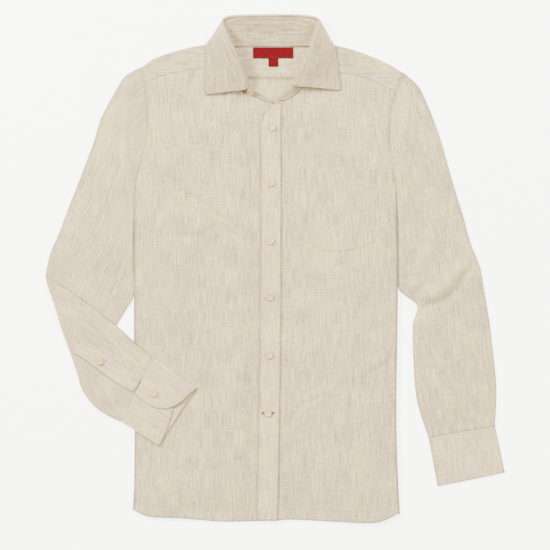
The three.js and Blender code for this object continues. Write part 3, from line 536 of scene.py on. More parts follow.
def joined(first, second, share):
    """One line up to this share of the length, and another one from there on."""
    def at(shares):
        shares = np.asarray(shares, float)
        low = first(np.clip(shares / share, 0, 1))
        high = second(np.clip((shares - share) / (1 - share), 0, 1))
        return np.where((shares <= share)[..., None], low, high)
    return at


def patch(low, high, near, far):
    """The area between four lines: low and high run along u, near and far run along v."""
    def grid(us, vs):
        u = us[None, :, None]
        v = vs[:, None, None]
        corners = [point_at(curve, end) for curve in (low, high) for end in (0.0, 1.0)]
        return (
            low(us)[None] * (1 - v) + high(us)[None] * v
            + near(vs)[:, None] * (1 - u) + far(vs)[:, None] * u
            - corners[0] * (1 - u) * (1 - v) - corners[1] * u * (1 - v)
            - corners[2] * (1 - u) * v - corners[3] * u * v
        )
    return grid


def relief(folds, x, y):
    """Height that the ridges and valleys of a table add at each place."""
    height = np.zeros_like(x)
    for (x0, y0), (x1, y1), width, rise in folds:
        dx, dy = x1 - x0, y1 - y0
        length = math.hypot(dx, dy)
        along = ((x - x0) * dx + (y - y0) * dy) / length
        aside = ((x - x0) * dy - (y - y0) * dx) / length
        fade = smooth(-width, width, along) * smooth(length + width, length - width, along)
        height += rise * fade * np.exp(-((aside / width) ** 2))
    return height


def ripple(x, y):
    """Slow small waves of cloth that has been laid out by hand."""
    waves = np.sin(x / 23 + y / 61 + 0.4) + np.sin(y / 37 - x / 71 + 1.9) + 0.7 * np.sin((x + y) / 17 + 2.3)
    return RIPPLE * waves + FINE_RIPPLE * np.sin(x / 7.1 - y / 23) * np.sin(y / 11.3 + x / 29)


def groove(distance, mark, depth=GROOVE_DEPTH):
    return -depth * np.exp(-(((distance - mark) / GROOVE_WIDTH) ** 2))


def marked(length, pitch, near=(), far=()):
    """Shares along a length, evenly spaced, with close steps at stitch lines near either end."""
    even = np.linspace(0, length, max(3, int(length / pitch)) + 1)
    extra = [mark + step for mark in near for step in GROOVE_STEPS]
    extra += [length - mark - step for mark in far for step in GROOVE_STEPS]
    marks = [mark for mark in extra if 0 < mark < length]
    kept = [value for value in even if all(abs(value - mark) > 0.5 for mark in marks)]
    return np.unique(np.clip([0.0, *kept, *marks, length], 0, length)) / length


def nearest(values, value):
    return int(np.argmin(np.abs(np.asarray(values) - value)))


# Heights of the layers
def below(x, y):
    from_side = np.minimum(x - SIDE_X["right"], SIDE_X["left"] - x)
    return SIDE_LEVEL * smooth(SIDE_FADE, SIDE_FLAT, from_side) * smooth(TURN_FADE_Y, TURN_FULL_Y, y)


def back_z(x, y):
    return FIRST_LAYER + below(x, y)


def lofted(y):
    """Share of the loft up a front: none at the hem and under the collar."""
    return smooth(*HEM_FADE, y) * smooth(*COLLAR_FADE, y)


def front_right_z(x, y):
    inside = smooth(*RIGHT_SIDE_FADE, x) * smooth(*RIGHT_PLACKET_FADE, x)
    fades = UNDER_SLEEVE_FADES
    free = 1 - smooth(*fades["x"], x) * smooth(*fades["top"], y) * smooth(*fades["bottom"], y)
    folds = relief(FOLDS_FRONT_RIGHT, x, y)
    fine = (CREASE_GAIN * relief(CREASES_FRONT_RIGHT, x, y) + ripple(x, y) + LOFT * lofted(y)) * free
    return back_z(x, y) + LAYER + np.maximum((folds + fine) * inside, LOWEST_DIP)


def front_left_z(x, y):
    folds = relief(FOLDS_FRONT_LEFT, x, y) * smooth(*LEFT_FOLD_FADE, x)
    fine = (CREASE_GAIN * relief(CREASES_FRONT_LEFT, x, y) + ripple(x, y)) * smooth(*LEFT_CREASE_FADE, x)
    loft = LOFT * lofted(y) * smooth(*LEFT_LOFT_FADE, x)
    raised_by = np.maximum((folds + fine + loft) * smooth(*LEFT_SIDE_FADE, x), LOWEST_DIP)
    return back_z(x, y) + LAYER + LAYER * smooth(*UNDERLAP_FADE, x) + raised_by


def below_sleeve(x, y):
    """The turned side lies under the inner edge of a sleeve near the armhole."""
    outside = np.maximum(0, np.maximum(SIDE_X["right"] - x, x - SIDE_X["left"]))
    rise = smooth(*UNDERARM_FADES["top"], y) * smooth(*UNDERARM_FADES["bottom"], y)
    return UNDERARM_LEVEL * rise * smooth(*UNDERARM_FADES["outside"], outside)


def forearm_z(x, y):
    beside = SIDE_LEVEL * smooth(*FOREARM_STEP, x)
    return SLEEVE_LAYER_ABOVE + np.where(x < SIDE_X["right"], beside, below(x, y))


# Meshes
def make_object(name, vertices, faces, material, grain=None, shade=None):
    mesh = bpy.data.meshes.new(name)
    mesh.from_pydata((np.asarray(vertices) * MM + SHIFT).tolist(), [], faces)
    mesh.polygons.foreach_set("use_smooth", [True] * len(mesh.polygons))
    if grain is not None:
        values = np.zeros((len(vertices), 3), np.float32)
        values[:, :2] = grain
        mesh.attributes.new("grain", "FLOAT_VECTOR", "POINT").data.foreach_set("vector", values.ravel())
    if shade is not None:
        shading = mesh.attributes.new("edge_shade", "FLOAT", "POINT")
        shading.data.foreach_set("value", shade.astype(np.float32))
    mesh.materials.append(material)
    mesh.update()
    made = bpy.data.objects.new(name, mesh)
    bpy.context.scene.collection.objects.link(made)
    return made


def shell(name, points, thickness, grain, material, keep=None, edge=1.0, shade=None):
    """A closed sheet round a grid of middle points, with rounded edges; equal points are merged.

    The edge shade is painted shade that stands in for contact shadow: 1 where edges and folds are darkest,
    and at least the edge argument all round the rim.
    """
    number = np.unique(np.round(points.reshape(-1, 3), 3), axis=0, return_index=True, return_inverse=True)
    first, index = number[1], number[2].reshape(points.shape[:2])
    corners = np.stack([index[:-1, :-1], index[:-1, 1:], index[1:, 1:], index[1:, :-1]], -1)
    corners = corners[keep] if keep is not None else corners.reshape(-1, 4)
    quads = []
    for quad in corners.tolist():
        face = list(dict.fromkeys(quad))
        if len(face) > 2:
            quads.append((face + face[-1:])[:4])
    quads = np.array(quads)
    used, quads = np.unique(quads, return_inverse=True)
    quads = quads.reshape(-1, 4)
    middle = points.reshape(-1, 3)[first][used]
    grains = grain.reshape(-1, 2)[first][used]
    count = len(middle)
    shades = np.zeros(count) if shade is None else shade.reshape(-1)[first][used]
    spread = np.cross(middle[quads[:, 2]] - middle[quads[:, 0]], middle[quads[:, 3]] - middle[quads[:, 1]])
    normals = np.zeros_like(middle)
    for corner in range(4):
        np.add.at(normals, quads[:, corner], spread)
    normals /= np.maximum(np.linalg.norm(normals, axis=1, keepdims=True), TINY)
    edges = np.vstack([quads[:, [corner, (corner + 1) % 4]] for corner in range(4)])
    edges = edges[edges[:, 0] != edges[:, 1]]
    reverse = edges[:, 1] * count + edges[:, 0]
    border = edges[~np.isin(edges[:, 0] * count + edges[:, 1], reverse)]
    outward = np.zeros_like(middle)
    away = np.cross(middle[border[:, 1]] - middle[border[:, 0]], normals[border[:, 0]])
    np.add.at(outward, border[:, 0], away)
    np.add.at(outward, border[:, 1], away)
    rim = np.unique(border)
    shades[rim] = np.maximum(shades[rim], edge)
    rim_number = np.zeros(count, int)
    rim_number[rim] = 2 * count + np.arange(len(rim))
    length = np.maximum(np.linalg.norm(outward[rim], axis=1, keepdims=True), TINY)
    rim_points = middle[rim] + outward[rim] / length * (EDGE_REACH * thickness)
    vertices = np.vstack([middle + normals * thickness / 2, middle - normals * thickness / 2, rim_points])
    faces = [list(dict.fromkeys(quad)) for quad in quads.tolist()]
    faces += [[corner + count for corner in reversed(face)] for face in list(faces)]
    for start, end in border.tolist():
        faces.append([start, int(rim_number[start]), int(rim_number[end]), end])
        faces.append([int(rim_number[start]), start + count, end + count, int(rim_number[end])])
    rim_shades = np.concatenate([shades, shades, shades[rim]])
    return make_object(name, vertices, faces, material, np.vstack([grains, grains, grains[rim]]), rim_shades)


def grid_normals(points):
    normals = np.cross(np.gradient(points, axis=1), np.gradient(points, axis=0))
    return normals / np.maximum(np.linalg.norm(normals, axis=-1, keepdims=True), TINY)


def raised(points, side=1, thickness=CLOTH):
    """The shown face of a grid of middle points, with the direction that it faces."""
    normals = grid_normals(points) * side
    return points + normals * thickness / 2, normals


def steps_along(points):
    """Distance of each point from the first one."""
    return np.concatenate([[0], np.cumsum(np.linalg.norm(np.diff(points, axis=0), axis=1))])


def stitches(name, paths, material, radius=STITCH_RADIUS):
    """Short lengths of thread along each path of places and the directions that they face."""
    vertices, faces = [], []
    for places, facing in paths:
        steps = steps_along(places)
        at = knotted(steps, places)
        up_at = knotted(steps, facing)
        for centre in np.arange(STITCH_PITCH / 2, steps[-1] - STITCH_PITCH / 2, STITCH_PITCH):
            start, end = at(centre - STITCH_LENGTH / 2), at(centre + STITCH_LENGTH / 2)
            up = up_at(centre)
            along = end - start
            across = np.cross(along, up)
            across *= radius / max(np.linalg.norm(across), TINY)
            lift = up * radius / max(np.linalg.norm(up), TINY)
            base = len(vertices)
            vertices.append(start - lift * 0.5)
            for share in STITCH_BENDS:
                middle = start + along * share + lift * 0.35
                vertices += [middle + across, middle + lift * 0.8, middle - across, middle - lift * 0.8]
            vertices.append(end - lift * 0.5)
            for side in range(4):
                after = (side + 1) % 4
                faces.append([base, base + 1 + after, base + 1 + side])
                faces.append([base + 1 + side, base + 1 + after, base + 5 + after, base + 5 + side])
                faces.append([base + 9, base + 5 + side, base + 5 + after])
    return make_object(name, np.array(vertices), faces, material)


def on_top(places, thickness=CLOTH):
    """A path on cloth that lies level: its places on the shown face, and that they face up."""
    return places + UP * thickness / 2, np.tile(UP, (len(places), 1))


def column(points, index, side=1):
    places, normals = raised(points, side)
    return places[:, index], normals[:, index]


def row(points, index, side=1):
    places, normals = raised(points, side)
    return places[index], normals[index]


# Materials
def node(tree, kind, inputs=None, **settings):
    made = tree.nodes.new(kind)
    for key, value in settings.items():
        setattr(made, key, value)
    for key, value in (inputs or {}).items():
        if isinstance(value, bpy.types.NodeSocket):
            tree.links.new(value, made.inputs[key])
        else:
            made.inputs[key].default_value = value
    return made


def ramp(tree, factor, stops):
    made = node(tree, "ShaderNodeValToRGB", {"Fac": factor})
    elements = made.color_ramp.elements
    while len(elements) < len(stops):
        elements.new(0.5)
    for element, (position, colour) in zip(elements, stops):
        element.position = position
        element.color = (*colour, 1)
    return made.outputs["Color"]


def streaks(tree, table):
    """The weighted sum of noises, each stretched along the cloth's own directions."""
    grain = node(tree, "ShaderNodeAttribute", attribute_name="grain").outputs["Vector"]
    total = 0.0
    for scale, offset, detail, weight in table:
        mapped = node(tree, "ShaderNodeMapping", {"Vector": grain, "Location": offset, "Scale": (*scale, 1)})
        inputs = {"Vector": mapped.outputs["Vector"], "Scale": 1.0, "Detail": detail}
        noise = node(tree, "ShaderNodeTexNoise", inputs).outputs[0]
        inputs = {0: noise, 1: weight, 2: total}
        total = node(tree, "ShaderNodeMath", inputs, operation="MULTIPLY_ADD").outputs[0]
    return total


def mix_colours(tree, factor, first, second, blend="MIX"):
    made = node(tree, "ShaderNodeMix", data_type="RGBA", blend_type=blend)
    for key, value in ((0, factor), (6, first), (7, second)):
        if isinstance(value, bpy.types.NodeSocket):
            tree.links.new(value, made.inputs[key])
        else:
            made.inputs[key].default_value = value if key == 0 else (*value, 1)
    return made.outputs[2]


def found_node(tree, kind):
    return next(found for found in tree.nodes if found.type == kind)


def new_material(name):
    material = bpy.data.materials.new(name)
    material.use_nodes = True
    tree = material.node_tree
    return material, tree, found_node(tree, "BSDF_PRINCIPLED")


def finish(tree, shader, colour, height, bump, roughness, specular, edge_tone):
    """Link a colour, with painted shade multiplied in along edges and folds where a tone is given, and a bump
    of (strength, metres).
    """
    if edge_tone is not None:
        edge = node(tree, "ShaderNodeAttribute", attribute_name="edge_shade").outputs["Fac"]
        colour = mix_colours(tree, edge, colour, edge_tone, "MULTIPLY")
    bumped = node(tree, "ShaderNodeBump", {"Height": height, "Strength": bump[0], "Distance": bump[1]})
    tree.links.new(colour, shader.inputs["Base Color"])
    tree.links.new(bumped.outputs["Normal"], shader.inputs["Normal"])
    shader.inputs["Roughness"].default_value = roughness
    shader.inputs["Specular IOR Level"].default_value = specular


def cloth_material(name, cream, mauve):
    """Plain weave of slubby yarns: streaks both ways that drift from cream to mauve, with a soft bump."""
    material, tree, shader = new_material(name)
    yarns = streaks(tree, YARNS)
    drift = ramp(tree, streaks(tree, COLOUR_DRIFT), [(0.42, (0, 0, 0)), (0.6, (1, 1, 1))])
    tones = [ramp(tree, yarns, [(0.41, dark), (0.59, light)]) for dark, light in (mauve, cream)]
    woven = mix_colours(tree, drift, *tones)
    finish(tree, shader, woven, yarns, (0.5, 0.0005), 0.92, 0.2, PAINTED_SHADE_TONE)
    shader.inputs["Sheen Weight"].default_value = 0.05
    shader.inputs["Sheen Roughness"].default_value = 0.5
    return material


def plain_material(name, dark, light, roughness, scale, bump=0.15, specular=0.4, edge_tone=None):
    """One colour with a slight mottle and a fine bump, in object space."""
    material, tree, shader = new_material(name)
    place = node(tree, "ShaderNodeTexCoord").outputs["Object"]
    mapped = node(tree, "ShaderNodeMapping", {"Vector": place, "Scale": scale}).outputs["Vector"]
    noise = node(tree, "ShaderNodeTexNoise", {"Vector": mapped, "Scale": 1.0, "Detail": 4.0}).outputs[0]
    mottle = ramp(tree, noise, [(0.35, dark), (0.65, light)])
    finish(tree, shader, mottle, noise, (bump, 0.0003), roughness, specular, edge_tone)
    return material


cloth = cloth_material(
    "linen_cloth",
    cream=((0.345, 0.285, 0.138), (0.655, 0.555, 0.3)), mauve=((0.265, 0.212, 0.145), (0.525, 0.43, 0.285)))
trim = cloth_material(
    "linen_trim",
    cream=((0.40, 0.32, 0.16), (0.74, 0.60, 0.33)), mauve=((0.315, 0.25, 0.17), (0.61, 0.48, 0.32)))
# The stand is the body's cloth made darker: painted shade for the inside of the collar
stand_cloth_painted_shade = cloth_material(
    "linen_stand_painted_shade",
    cream=((0.29, 0.235, 0.114), (0.55, 0.45, 0.24)), mauve=((0.235, 0.187, 0.12), (0.45, 0.362, 0.228)))
leaf_cloth = cloth_material(
    "linen_collar",
    cream=((0.295, 0.24, 0.118), (0.55, 0.45, 0.24)), mauve=((0.245, 0.193, 0.125), (0.46, 0.365, 0.235)))
thread = plain_material("sewing_thread", (0.42, 0.34, 0.22), (0.6, 0.5, 0.34), 0.6, FINE_GRAIN)
button_plastic = plain_material(
    "button_cream", (0.6, 0.44, 0.2), (0.84, 0.66, 0.34), 0.32, (170, 90, 130),
    bump=0.05, specular=0.5, edge_tone=BUTTON_RIM_AND_SHADE_TONE)
button_thread = plain_material("button_thread", (0.36, 0.26, 0.13), (0.56, 0.42, 0.23), 0.7, FINE_GRAIN)
red_tape = plain_material(
    "label_tape", (0.066, 0.0026, 0.0044), (0.105, 0.005, 0.008), 0.85, (260, 2600, 300),
    bump=0.4, specular=0.03)
light_thread = plain_material("label_top_thread", (0.5, 0.3, 0.24), (0.66, 0.45, 0.36), 0.6, FINE_GRAIN)
red_thread = plain_material("red_thread", (0.06, 0.008, 0.01), (0.1, 0.015, 0.018), 0.6, FINE_GRAIN)
red_tape_edge = plain_material(
    "label_stitching", (0.17, 0.02, 0.022), (0.25, 0.04, 0.042), 0.6, FINE_GRAIN)


def declare(made, node_name, pieces=()):
    """A cloth piece stands in for its node, which is hidden; it and its other pieces hang from the root."""
    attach(made, "root")
    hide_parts(node_name)
    for piece in pieces:
        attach(piece, "root")
    return made


# Body panels
def on_curve(points, count):
    return line(points)(np.linspace(0, 1, count + 1))


armhole_points = {name: on_curve(ARMHOLE[name], ARM_ROWS) for name in ARMHOLE}
yoke_seam_points = {name: on_curve(YOKE_SEAM[name], ARM_ROWS) for name in YOKE_SEAM}
arm_shares = np.linspace(0, 1, ARM_ROWS + 1)
side_lines = {
    name: joined(line(SIDE[name]), knotted(arm_shares, armhole_points[name]), ARM_SHARE) for name in SIDE
}


def turned_strip(edge, outward, radius):
    """Points round a side edge and along the strip that lies under it, for each row of a panel."""
    strip = [
        edge + np.array([outward * radius * math.sin(turn), 0, -radius * (1 - math.cos(turn))])
        for turn in TURN_ANGLES
    ]
    slope = np.where(edge[:, 1] > STRIP_SLOPE_Y, STRIP_SLOPE, 0.0)
    for share in STRIP_SHARES:
        inward = SIDE_TURN * share
        under = edge + np.array([-outward * inward, 0, -2 * radius])
        under[:, 1] -= slope * inward
        strip.append(under)
    strip = np.stack(strip, 1)
    strip[..., 2] = np.maximum(strip[..., 2], FIRST_LAYER)
    return strip


def panel_keep(shape, first_strip, last_strip, turned):
    """Cells of a panel: the strips beside it are there only where the side is turned under."""
    keep = np.ones((shape[0] - 1, shape[1] - 1), bool)
    without = ~(turned[:-1] & turned[1:])
    keep[without, :first_strip] = False
    keep[without, -last_strip:] = False
    return keep


def front_panel(name):
    outward = OUTWARD[name]
    neck_rows = COLLAR[slice(*FRONT_NECK_ROWS[name])]
    if name == "left":
        neck_rows = neck_rows[::-1]
    neck = [(seam[0] + outward * STEEP_SEAM_GAP, seam[1] - STEEP_SEAM_GAP, 0) for seam, *_ in neck_rows]
    seam = [(point[0], point[1] - SEAM_GAP, 0) for point in yoke_seam_points[name]]
    top_points = np.array([*[(x, y, 0) for x, y in NECK_EDGE[name]], *neck, *seam])
    top = knotted(np.linspace(0, 1, len(top_points)), top_points)
    front = line([*FRONT_EDGE[name], NECK_EDGE[name][0]])

    def far(shares):
        return np.where((shares < 1)[..., None], side_lines[name](shares), top_points[-1])

    us = marked(FRONT_WIDTH, FRONT_PITCH["across"], far=(ARMHOLE_STITCH,))
    vs = marked(BODY_LENGTH, FRONT_PITCH["up"], near=(HEM_STITCH,), far=(CLOSE_STITCH,))
    points = patch(line(HEM[name]), top, front, far)(us, vs)
    x, y = points[..., 0], points[..., 1]
    points[..., 2] = (front_right_z if name == "right" else front_left_z)(x, y)
    from_hem = (vs * BODY_LENGTH)[:, None]
    from_top = ((1 - vs) * BODY_LENGTH)[:, None]
    from_side = ((1 - us) * FRONT_WIDTH)[None, :]
    at_yoke = smooth(0.5, 0.62, us)[None, :]
    at_armhole = smooth(ARM_SHARE, ARM_SHARE + 0.03, vs)[:, None]
    pucker = PUCKER * np.sin(x / 2.3 + np.sin(x / 19)) * smooth(HEM_STITCH + 3, HEM_STITCH - 6, from_hem)
    points[..., 2] += groove(from_hem, HEM_STITCH) + pucker + groove(from_top, CLOSE_STITCH) * at_yoke
    points[..., 2] += groove(from_side, ARMHOLE_STITCH) * at_armhole
    strip = turned_strip(points[:, -1], outward, FRONT_TURN_RADIUS)
    grid = np.concatenate([points, strip], 1)
    keep = panel_keep(grid.shape, 0, strip.shape[1], points[:, -1, 1] < TURN_TOP_Y)
    # Painted shade round the side edge and on the strip turned under it
    shade = np.zeros(grid.shape[:2])
    shade[:, len(us):] = 1
    shade[:, len(us) - 1] = SIDE_PAINTED_SHADE
    made = shell(f"front_{name}_cloth", grid, CLOTH, grid[..., :2], cloth, keep, SEAM_PAINTED_SHADE, shade)
    hem = row(points, nearest(vs * BODY_LENGTH, HEM_STITCH), outward)
    arm_rows = vs > ARM_SHARE
    places, facing = column(points, nearest(us * FRONT_WIDTH, FRONT_WIDTH - ARMHOLE_STITCH), outward)
    paths = [hem, (places[arm_rows], facing[arm_rows])]
    return made, stitches(f"front_{name}_stitches", paths, thread)


def back_yoke_y(x):
    return np.interp(x, BACK_TOP["x"], BACK_TOP["y"])


def back_panel():
    right_x, *between, left_x = BACK_TOP["x"]
    xs = np.unique([*np.linspace(right_x, left_x, BACK_COLUMNS), *between])
    top = knotted(np.linspace(0, 1, len(xs)), np.stack([xs, back_yoke_y(xs), np.zeros_like(xs)], 1))
    us = np.linspace(0, 1, len(xs))
    vs = marked(BACK_LENGTH, BACK_PITCH, near=(HEM_STITCH,))
    points = patch(line(HEM_BACK), top, side_lines["right"], side_lines["left"])(us, vs)
    points[..., 2] = back_z(points[..., 0], points[..., 1])
    points[..., 2] += groove((vs * BACK_LENGTH)[:, None], HEM_STITCH, SHALLOW_GROOVE)
    right_strip = turned_strip(points[:, 0], -1, BACK_TURN_RADIUS)[:, ::-1]
    left_strip = turned_strip(points[:, -1], 1, BACK_TURN_RADIUS)
    grid = np.concatenate([right_strip, points, left_strip], 1)
    turned = points[:, 0, 1] < TURN_TOP_Y
    keep = panel_keep(grid.shape, right_strip.shape[1], left_strip.shape[1], turned)
    return shell("back_cloth", grid, CLOTH, grid[..., :2], cloth, keep)


# Yoke: up the back, over the shoulders and down to the front seams, open at the neck between them
def yoke_columns():
    """Low, top and front point of each column; there is no front at the back of the neck."""
    shoulder = {name: line(SHOULDER[name])(arm_shares) for name in SHOULDER}
    columns = list(zip(shoulder["right"], yoke_seam_points["right"][::-1]))
    for name, neck_rows in YOKE_NECK_ROWS.items():
        seams = [seam for seam, *_ in COLLAR[slice(*neck_rows)]]
        if name == "back":
            columns += [(np.array([seam[0], seam[1] - STEEP_SEAM_GAP, 0]), None) for seam in seams]
            continue
        for seam, top_x in zip(seams, YOKE_NECK_TOPS[name]):
            front = np.array([seam[0] + OUTWARD[name] * STEEP_SEAM_GAP, seam[1], 0])
            columns.append((np.array([top_x, NECK_TOP_Y, 0]), front))
    columns += zip(shoulder["left"][::-1], yoke_seam_points["left"])
    low_x = [top[0] for top, _ in columns]
    low_x[:len(YOKE_LOW_RIGHT)] = YOKE_LOW_RIGHT
    low_x[-len(YOKE_LOW_LEFT):] = YOKE_LOW_LEFT
    lows = [np.array([x, back_yoke_y(x) + SEAM_GAP, 0]) for x in low_x]
    return [(low, top, front) for low, (top, front) in zip(lows, columns)]


def yoke_panel():
    columns = yoke_columns()
    has_front = np.array([front is not None for *_, front in columns])
    rows = []
    for share in np.linspace(0, 1, YOKE_BACK_STEPS):
        up = np.array([low * (1 - share) + top * share for low, top, _ in columns])
        up[:, 1] -= HALF_TAPE * share * has_front
        up[:, 2] = back_z(up[:, 0], up[:, 1])
        rows.append(up)
    crest = rows[-1]
    for turn in YOKE_TURNS:
        step = np.array([0, HALF_TAPE * math.sin(turn), HALF_TAPE * (1 - math.cos(turn))])
        rows.append(crest + has_front[:, None] * step)
    over = rows[-1]
    fronts = np.array([crest[i] if front is None else front for i, (*_, front) in enumerate(columns)])
    for share in YOKE_FRONT_SHARES:
        down = over * (1 - share) + fronts * share
        down[:, 2] = back_z(down[:, 0], down[:, 1]) + LAYER
        down[:, 2] += ripple(down[:, 0], down[:, 1]) * smooth(0, 0.2, share) * smooth(1, 0.9, share)
        rows.append(np.where(has_front[:, None], down, crest))
    last = len(columns) - 1
    fine = np.linspace(0, last, YOKE_FINE_STEPS * last + 1)
    grid = np.stack([knotted(np.arange(len(columns)), each)(fine) for each in rows])
    made = shell("yoke_cloth", grid, CLOTH, grid[..., 1::-1], cloth, edge=SEAM_PAINTED_SHADE)
    shown = has_front[np.round(fine).astype(int)]
    right = shown & (np.arange(len(fine)) < len(fine) // 2)
    paths = [on_top(grid[-2][part]) for part in (right, shown & ~right)]
    return made, stitches("yoke_stitches", paths, thread)


# Collar
def collar_values(fine):
    """The collar's table at fractional rows: seam, crest, leaf edge and turn."""
    numbers = np.arange(len(COLLAR))
    with_leaf = [i for i in numbers if COLLAR[i][2]]
    seam = smooth_rows(numbers, [COLLAR[i][0] for i in numbers], fine)
    fold = smooth_rows(numbers, [COLLAR[i][1] for i in numbers], fine)
    edge = smooth_rows(with_leaf, [COLLAR[i][2] for i in with_leaf], fine)
    turn = smooth_rows(numbers, [(COLLAR[i][3],) for i in numbers], fine)[:, 0]
    return seam, fold, edge, turn


def smooth_rows(numbers, rows, fine):
    """A table's rows between their own numbers, on cubics whose slopes don't overshoot."""
    numbers = np.asarray(numbers, float)
    rows = np.asarray(rows, float)
    slopes = np.gradient(rows, numbers, axis=0)
    place = np.clip(np.searchsorted(numbers, fine, side="right") - 1, 0, len(numbers) - 2)
    t = np.clip((fine - numbers[place]) / (numbers[place + 1] - numbers[place]), 0, 1)[:, None]
    return hermite(rows[place], rows[place + 1], slopes[place], slopes[place + 1], t)


def unit(vectors):
    return vectors / np.maximum(np.linalg.norm(vectors, axis=-1, keepdims=True), TINY)


def collar_sections(fine):
    """Stand and leaf control points at each section, lowest first."""
    seam, fold, edge, turn = collar_values(fine)
    turn = np.radians(turn)[:, None]
    ahead = np.gradient(fold, axis=0)
    inward = unit(np.stack([ahead[:, 1], -ahead[:, 0], np.zeros(len(fine))], 1))
    to_stand = unit(np.array([0, 0, 1.0]) * np.cos(turn) + inward * np.sin(turn))
    out = fold - seam
    out = unit(out - to_stand * np.sum(out * to_stand, axis=1, keepdims=True))
    stand_top = fold + to_stand * COLLAR_ROLL - out * COLLAR_ROLL * 1.6
    stand_middle = seam * 0.55 + stand_top * 0.45
    crest = fold + out * COLLAR_ROLL * 0.4
    leaf_top = fold - to_stand * COLLAR_ROLL - out * COLLAR_ROLL * 1.6
    leaf_middle = (leaf_top + edge) / 2 - to_stand * 0.6
    roll_in = fold + to_stand * COLLAR_ROLL * 0.9 - out * COLLAR_ROLL * 0.6
    leaf_start = stand_top * 0.68 + roll_in * 0.32
    stand = np.stack([seam, stand_middle, stand_top], 1)
    leaf = np.stack([leaf_start, roll_in, crest, leaf_top, leaf_middle, edge], 1)
    return stand, leaf


def along_rows(points):
    """Distance along the rows and across them, for cloth that is cut along its length."""
    across_steps = np.mean(np.linalg.norm(np.diff(points, axis=1), axis=2), axis=0)
    across = np.concatenate([[0], np.cumsum(across_steps)])
    return np.stack(np.broadcast_arrays(steps_along(points[:, -1])[:, None], across[None, :]), -1)


def collar_stand(fine, sections):
    grid = np.stack([line(section)(STAND_SHARES) for section in sections])
    facing = grid_normals(grid)
    length = steps_along(sections[:, 1])
    wave = 0.3 * np.sin(length / 9.0 + 2 * np.sin(length / 31.0))
    middle = length[len(length) // 2]
    for offset, rise in STAND_WAVES:
        wave = wave + rise * np.exp(-(((length - middle - offset) / STAND_WAVE_WIDTH) ** 2))
    swell = np.sin(np.pi * STAND_SHARES)[None, :] ** 2
    lines = sum(groove(STAND_SHARES * STAND_HEIGHT, sewn["height"], sewn["depth"]) for sewn in STAND_STITCHES)
    lift = wave[:, None] * swell * smooth(0, 25, length)[:, None] - lines[None, :]
    grid += facing * lift[..., None]
    lap = (smooth(8.5, 10.5, fine) * smooth(20.5, 18.5, fine))[:, None] * smooth(0.45, 0, STAND_SHARES)
    grid[..., 1] -= STAND_LAP * lap
    grid[..., 2] += (CLOTH + SEAM_GAP) * lap
    grain = along_rows(grid)[..., ::-1]
    made = shell("collar_stand_cloth", grid, CLOTH, grain, stand_cloth_painted_shade, edge=SEAM_PAINTED_SHADE)
    paths = [column(grid, sewn["column"], -1) for sewn in STAND_STITCHES]
    return made, stitches("collar_stand_stitches", paths, thread)


def collar_leaf(fine, sections):
    with_leaf = [index for index, entry in enumerate(COLLAR) if entry[2]]
    grid = []
    for section in sections[(fine >= with_leaf[0]) & (fine <= with_leaf[-1])]:
        span = np.linalg.norm(np.diff(section, axis=0), axis=1).sum()
        shares = [*(LEAF_SHARES * (1 - LEAF_MARKS_START / span)), *(1 - LEAF_MARKS / span), 1.0]
        grid.append(line(section)(np.array(shares)))
    grid = np.array(grid)
    x, y = grid[..., 0], grid[..., 1]
    soft = 0.25 * np.sin(y / 13 + x / 29) + 0.2 * np.sin(x / 11 - y / 17)
    fade = smooth(0, 6, np.arange(grid.shape[1]))[None, :] * smooth(0, 6, np.arange(grid.shape[0]))[:, None]
    grid += grid_normals(grid) * (soft * fade * fade[::-1])[..., None]
    made = shell("collar_leaf_cloth", grid, LEAF_CLOTH, along_rows(grid)[..., ::-1], leaf_cloth)
    places, normals = raised(grid, -1, LEAF_CLOTH)
    paths = [column(grid, LEAF_STITCH_COLUMN, -1)]
    for end in (LEAF_END_ROW, -1 - LEAF_END_ROW):
        paths.append((places[end, LEAF_END_COLUMN:], normals[end, LEAF_END_COLUMN:]))
    return made, stitches("collar_leaf_stitches", paths, thread)


# Placket and pocket lie on the left front
def placket():
    us = marked(PLACKET_WIDTH, NARROW_PITCH, near=(EDGE_STITCH,), far=(EDGE_STITCH,))
    vs = np.linspace(0, 1, PLACKET_ROWS)
    free, seam = line(PLACKET["free"]), line(PLACKET["seam"])
    hem, top = [knotted([0, 1], [point_at(free, end), point_at(seam, end)]) for end in (0.0, 1.0)]
    points = patch(hem, top, free, seam)(us, vs)
    points[..., 0] += SEAM_GAP
    points[..., 1] -= 2 * SEAM_GAP
    x, y = points[..., 0], points[..., 1]
    from_edge = (us * PLACKET_WIDTH)[None, :]
    points[..., 2] = front_left_z(x, y) + LAYER + groove(from_edge, EDGE_STITCH, PLACKET_GROOVE)
    points[..., 2] += groove(from_edge, PLACKET_WIDTH - EDGE_STITCH, PLACKET_GROOVE)
    points[..., 2] += 0.12 * np.sin(y / 3.1 + 2 * np.sin(y / 41)) * smooth(6, 0, from_edge)
    made = shell("placket_left_cloth", points, CLOTH, points[..., :2], trim)
    marks = [nearest(us * PLACKET_WIDTH, mark) for mark in (EDGE_STITCH, PLACKET_WIDTH - EDGE_STITCH)]
    return made, stitches("placket_left_stitches", [column(points, mark) for mark in marks], thread)


def placket_top(x, y):
    return front_left_z(x, y) + LAYER + CLOTH / 2


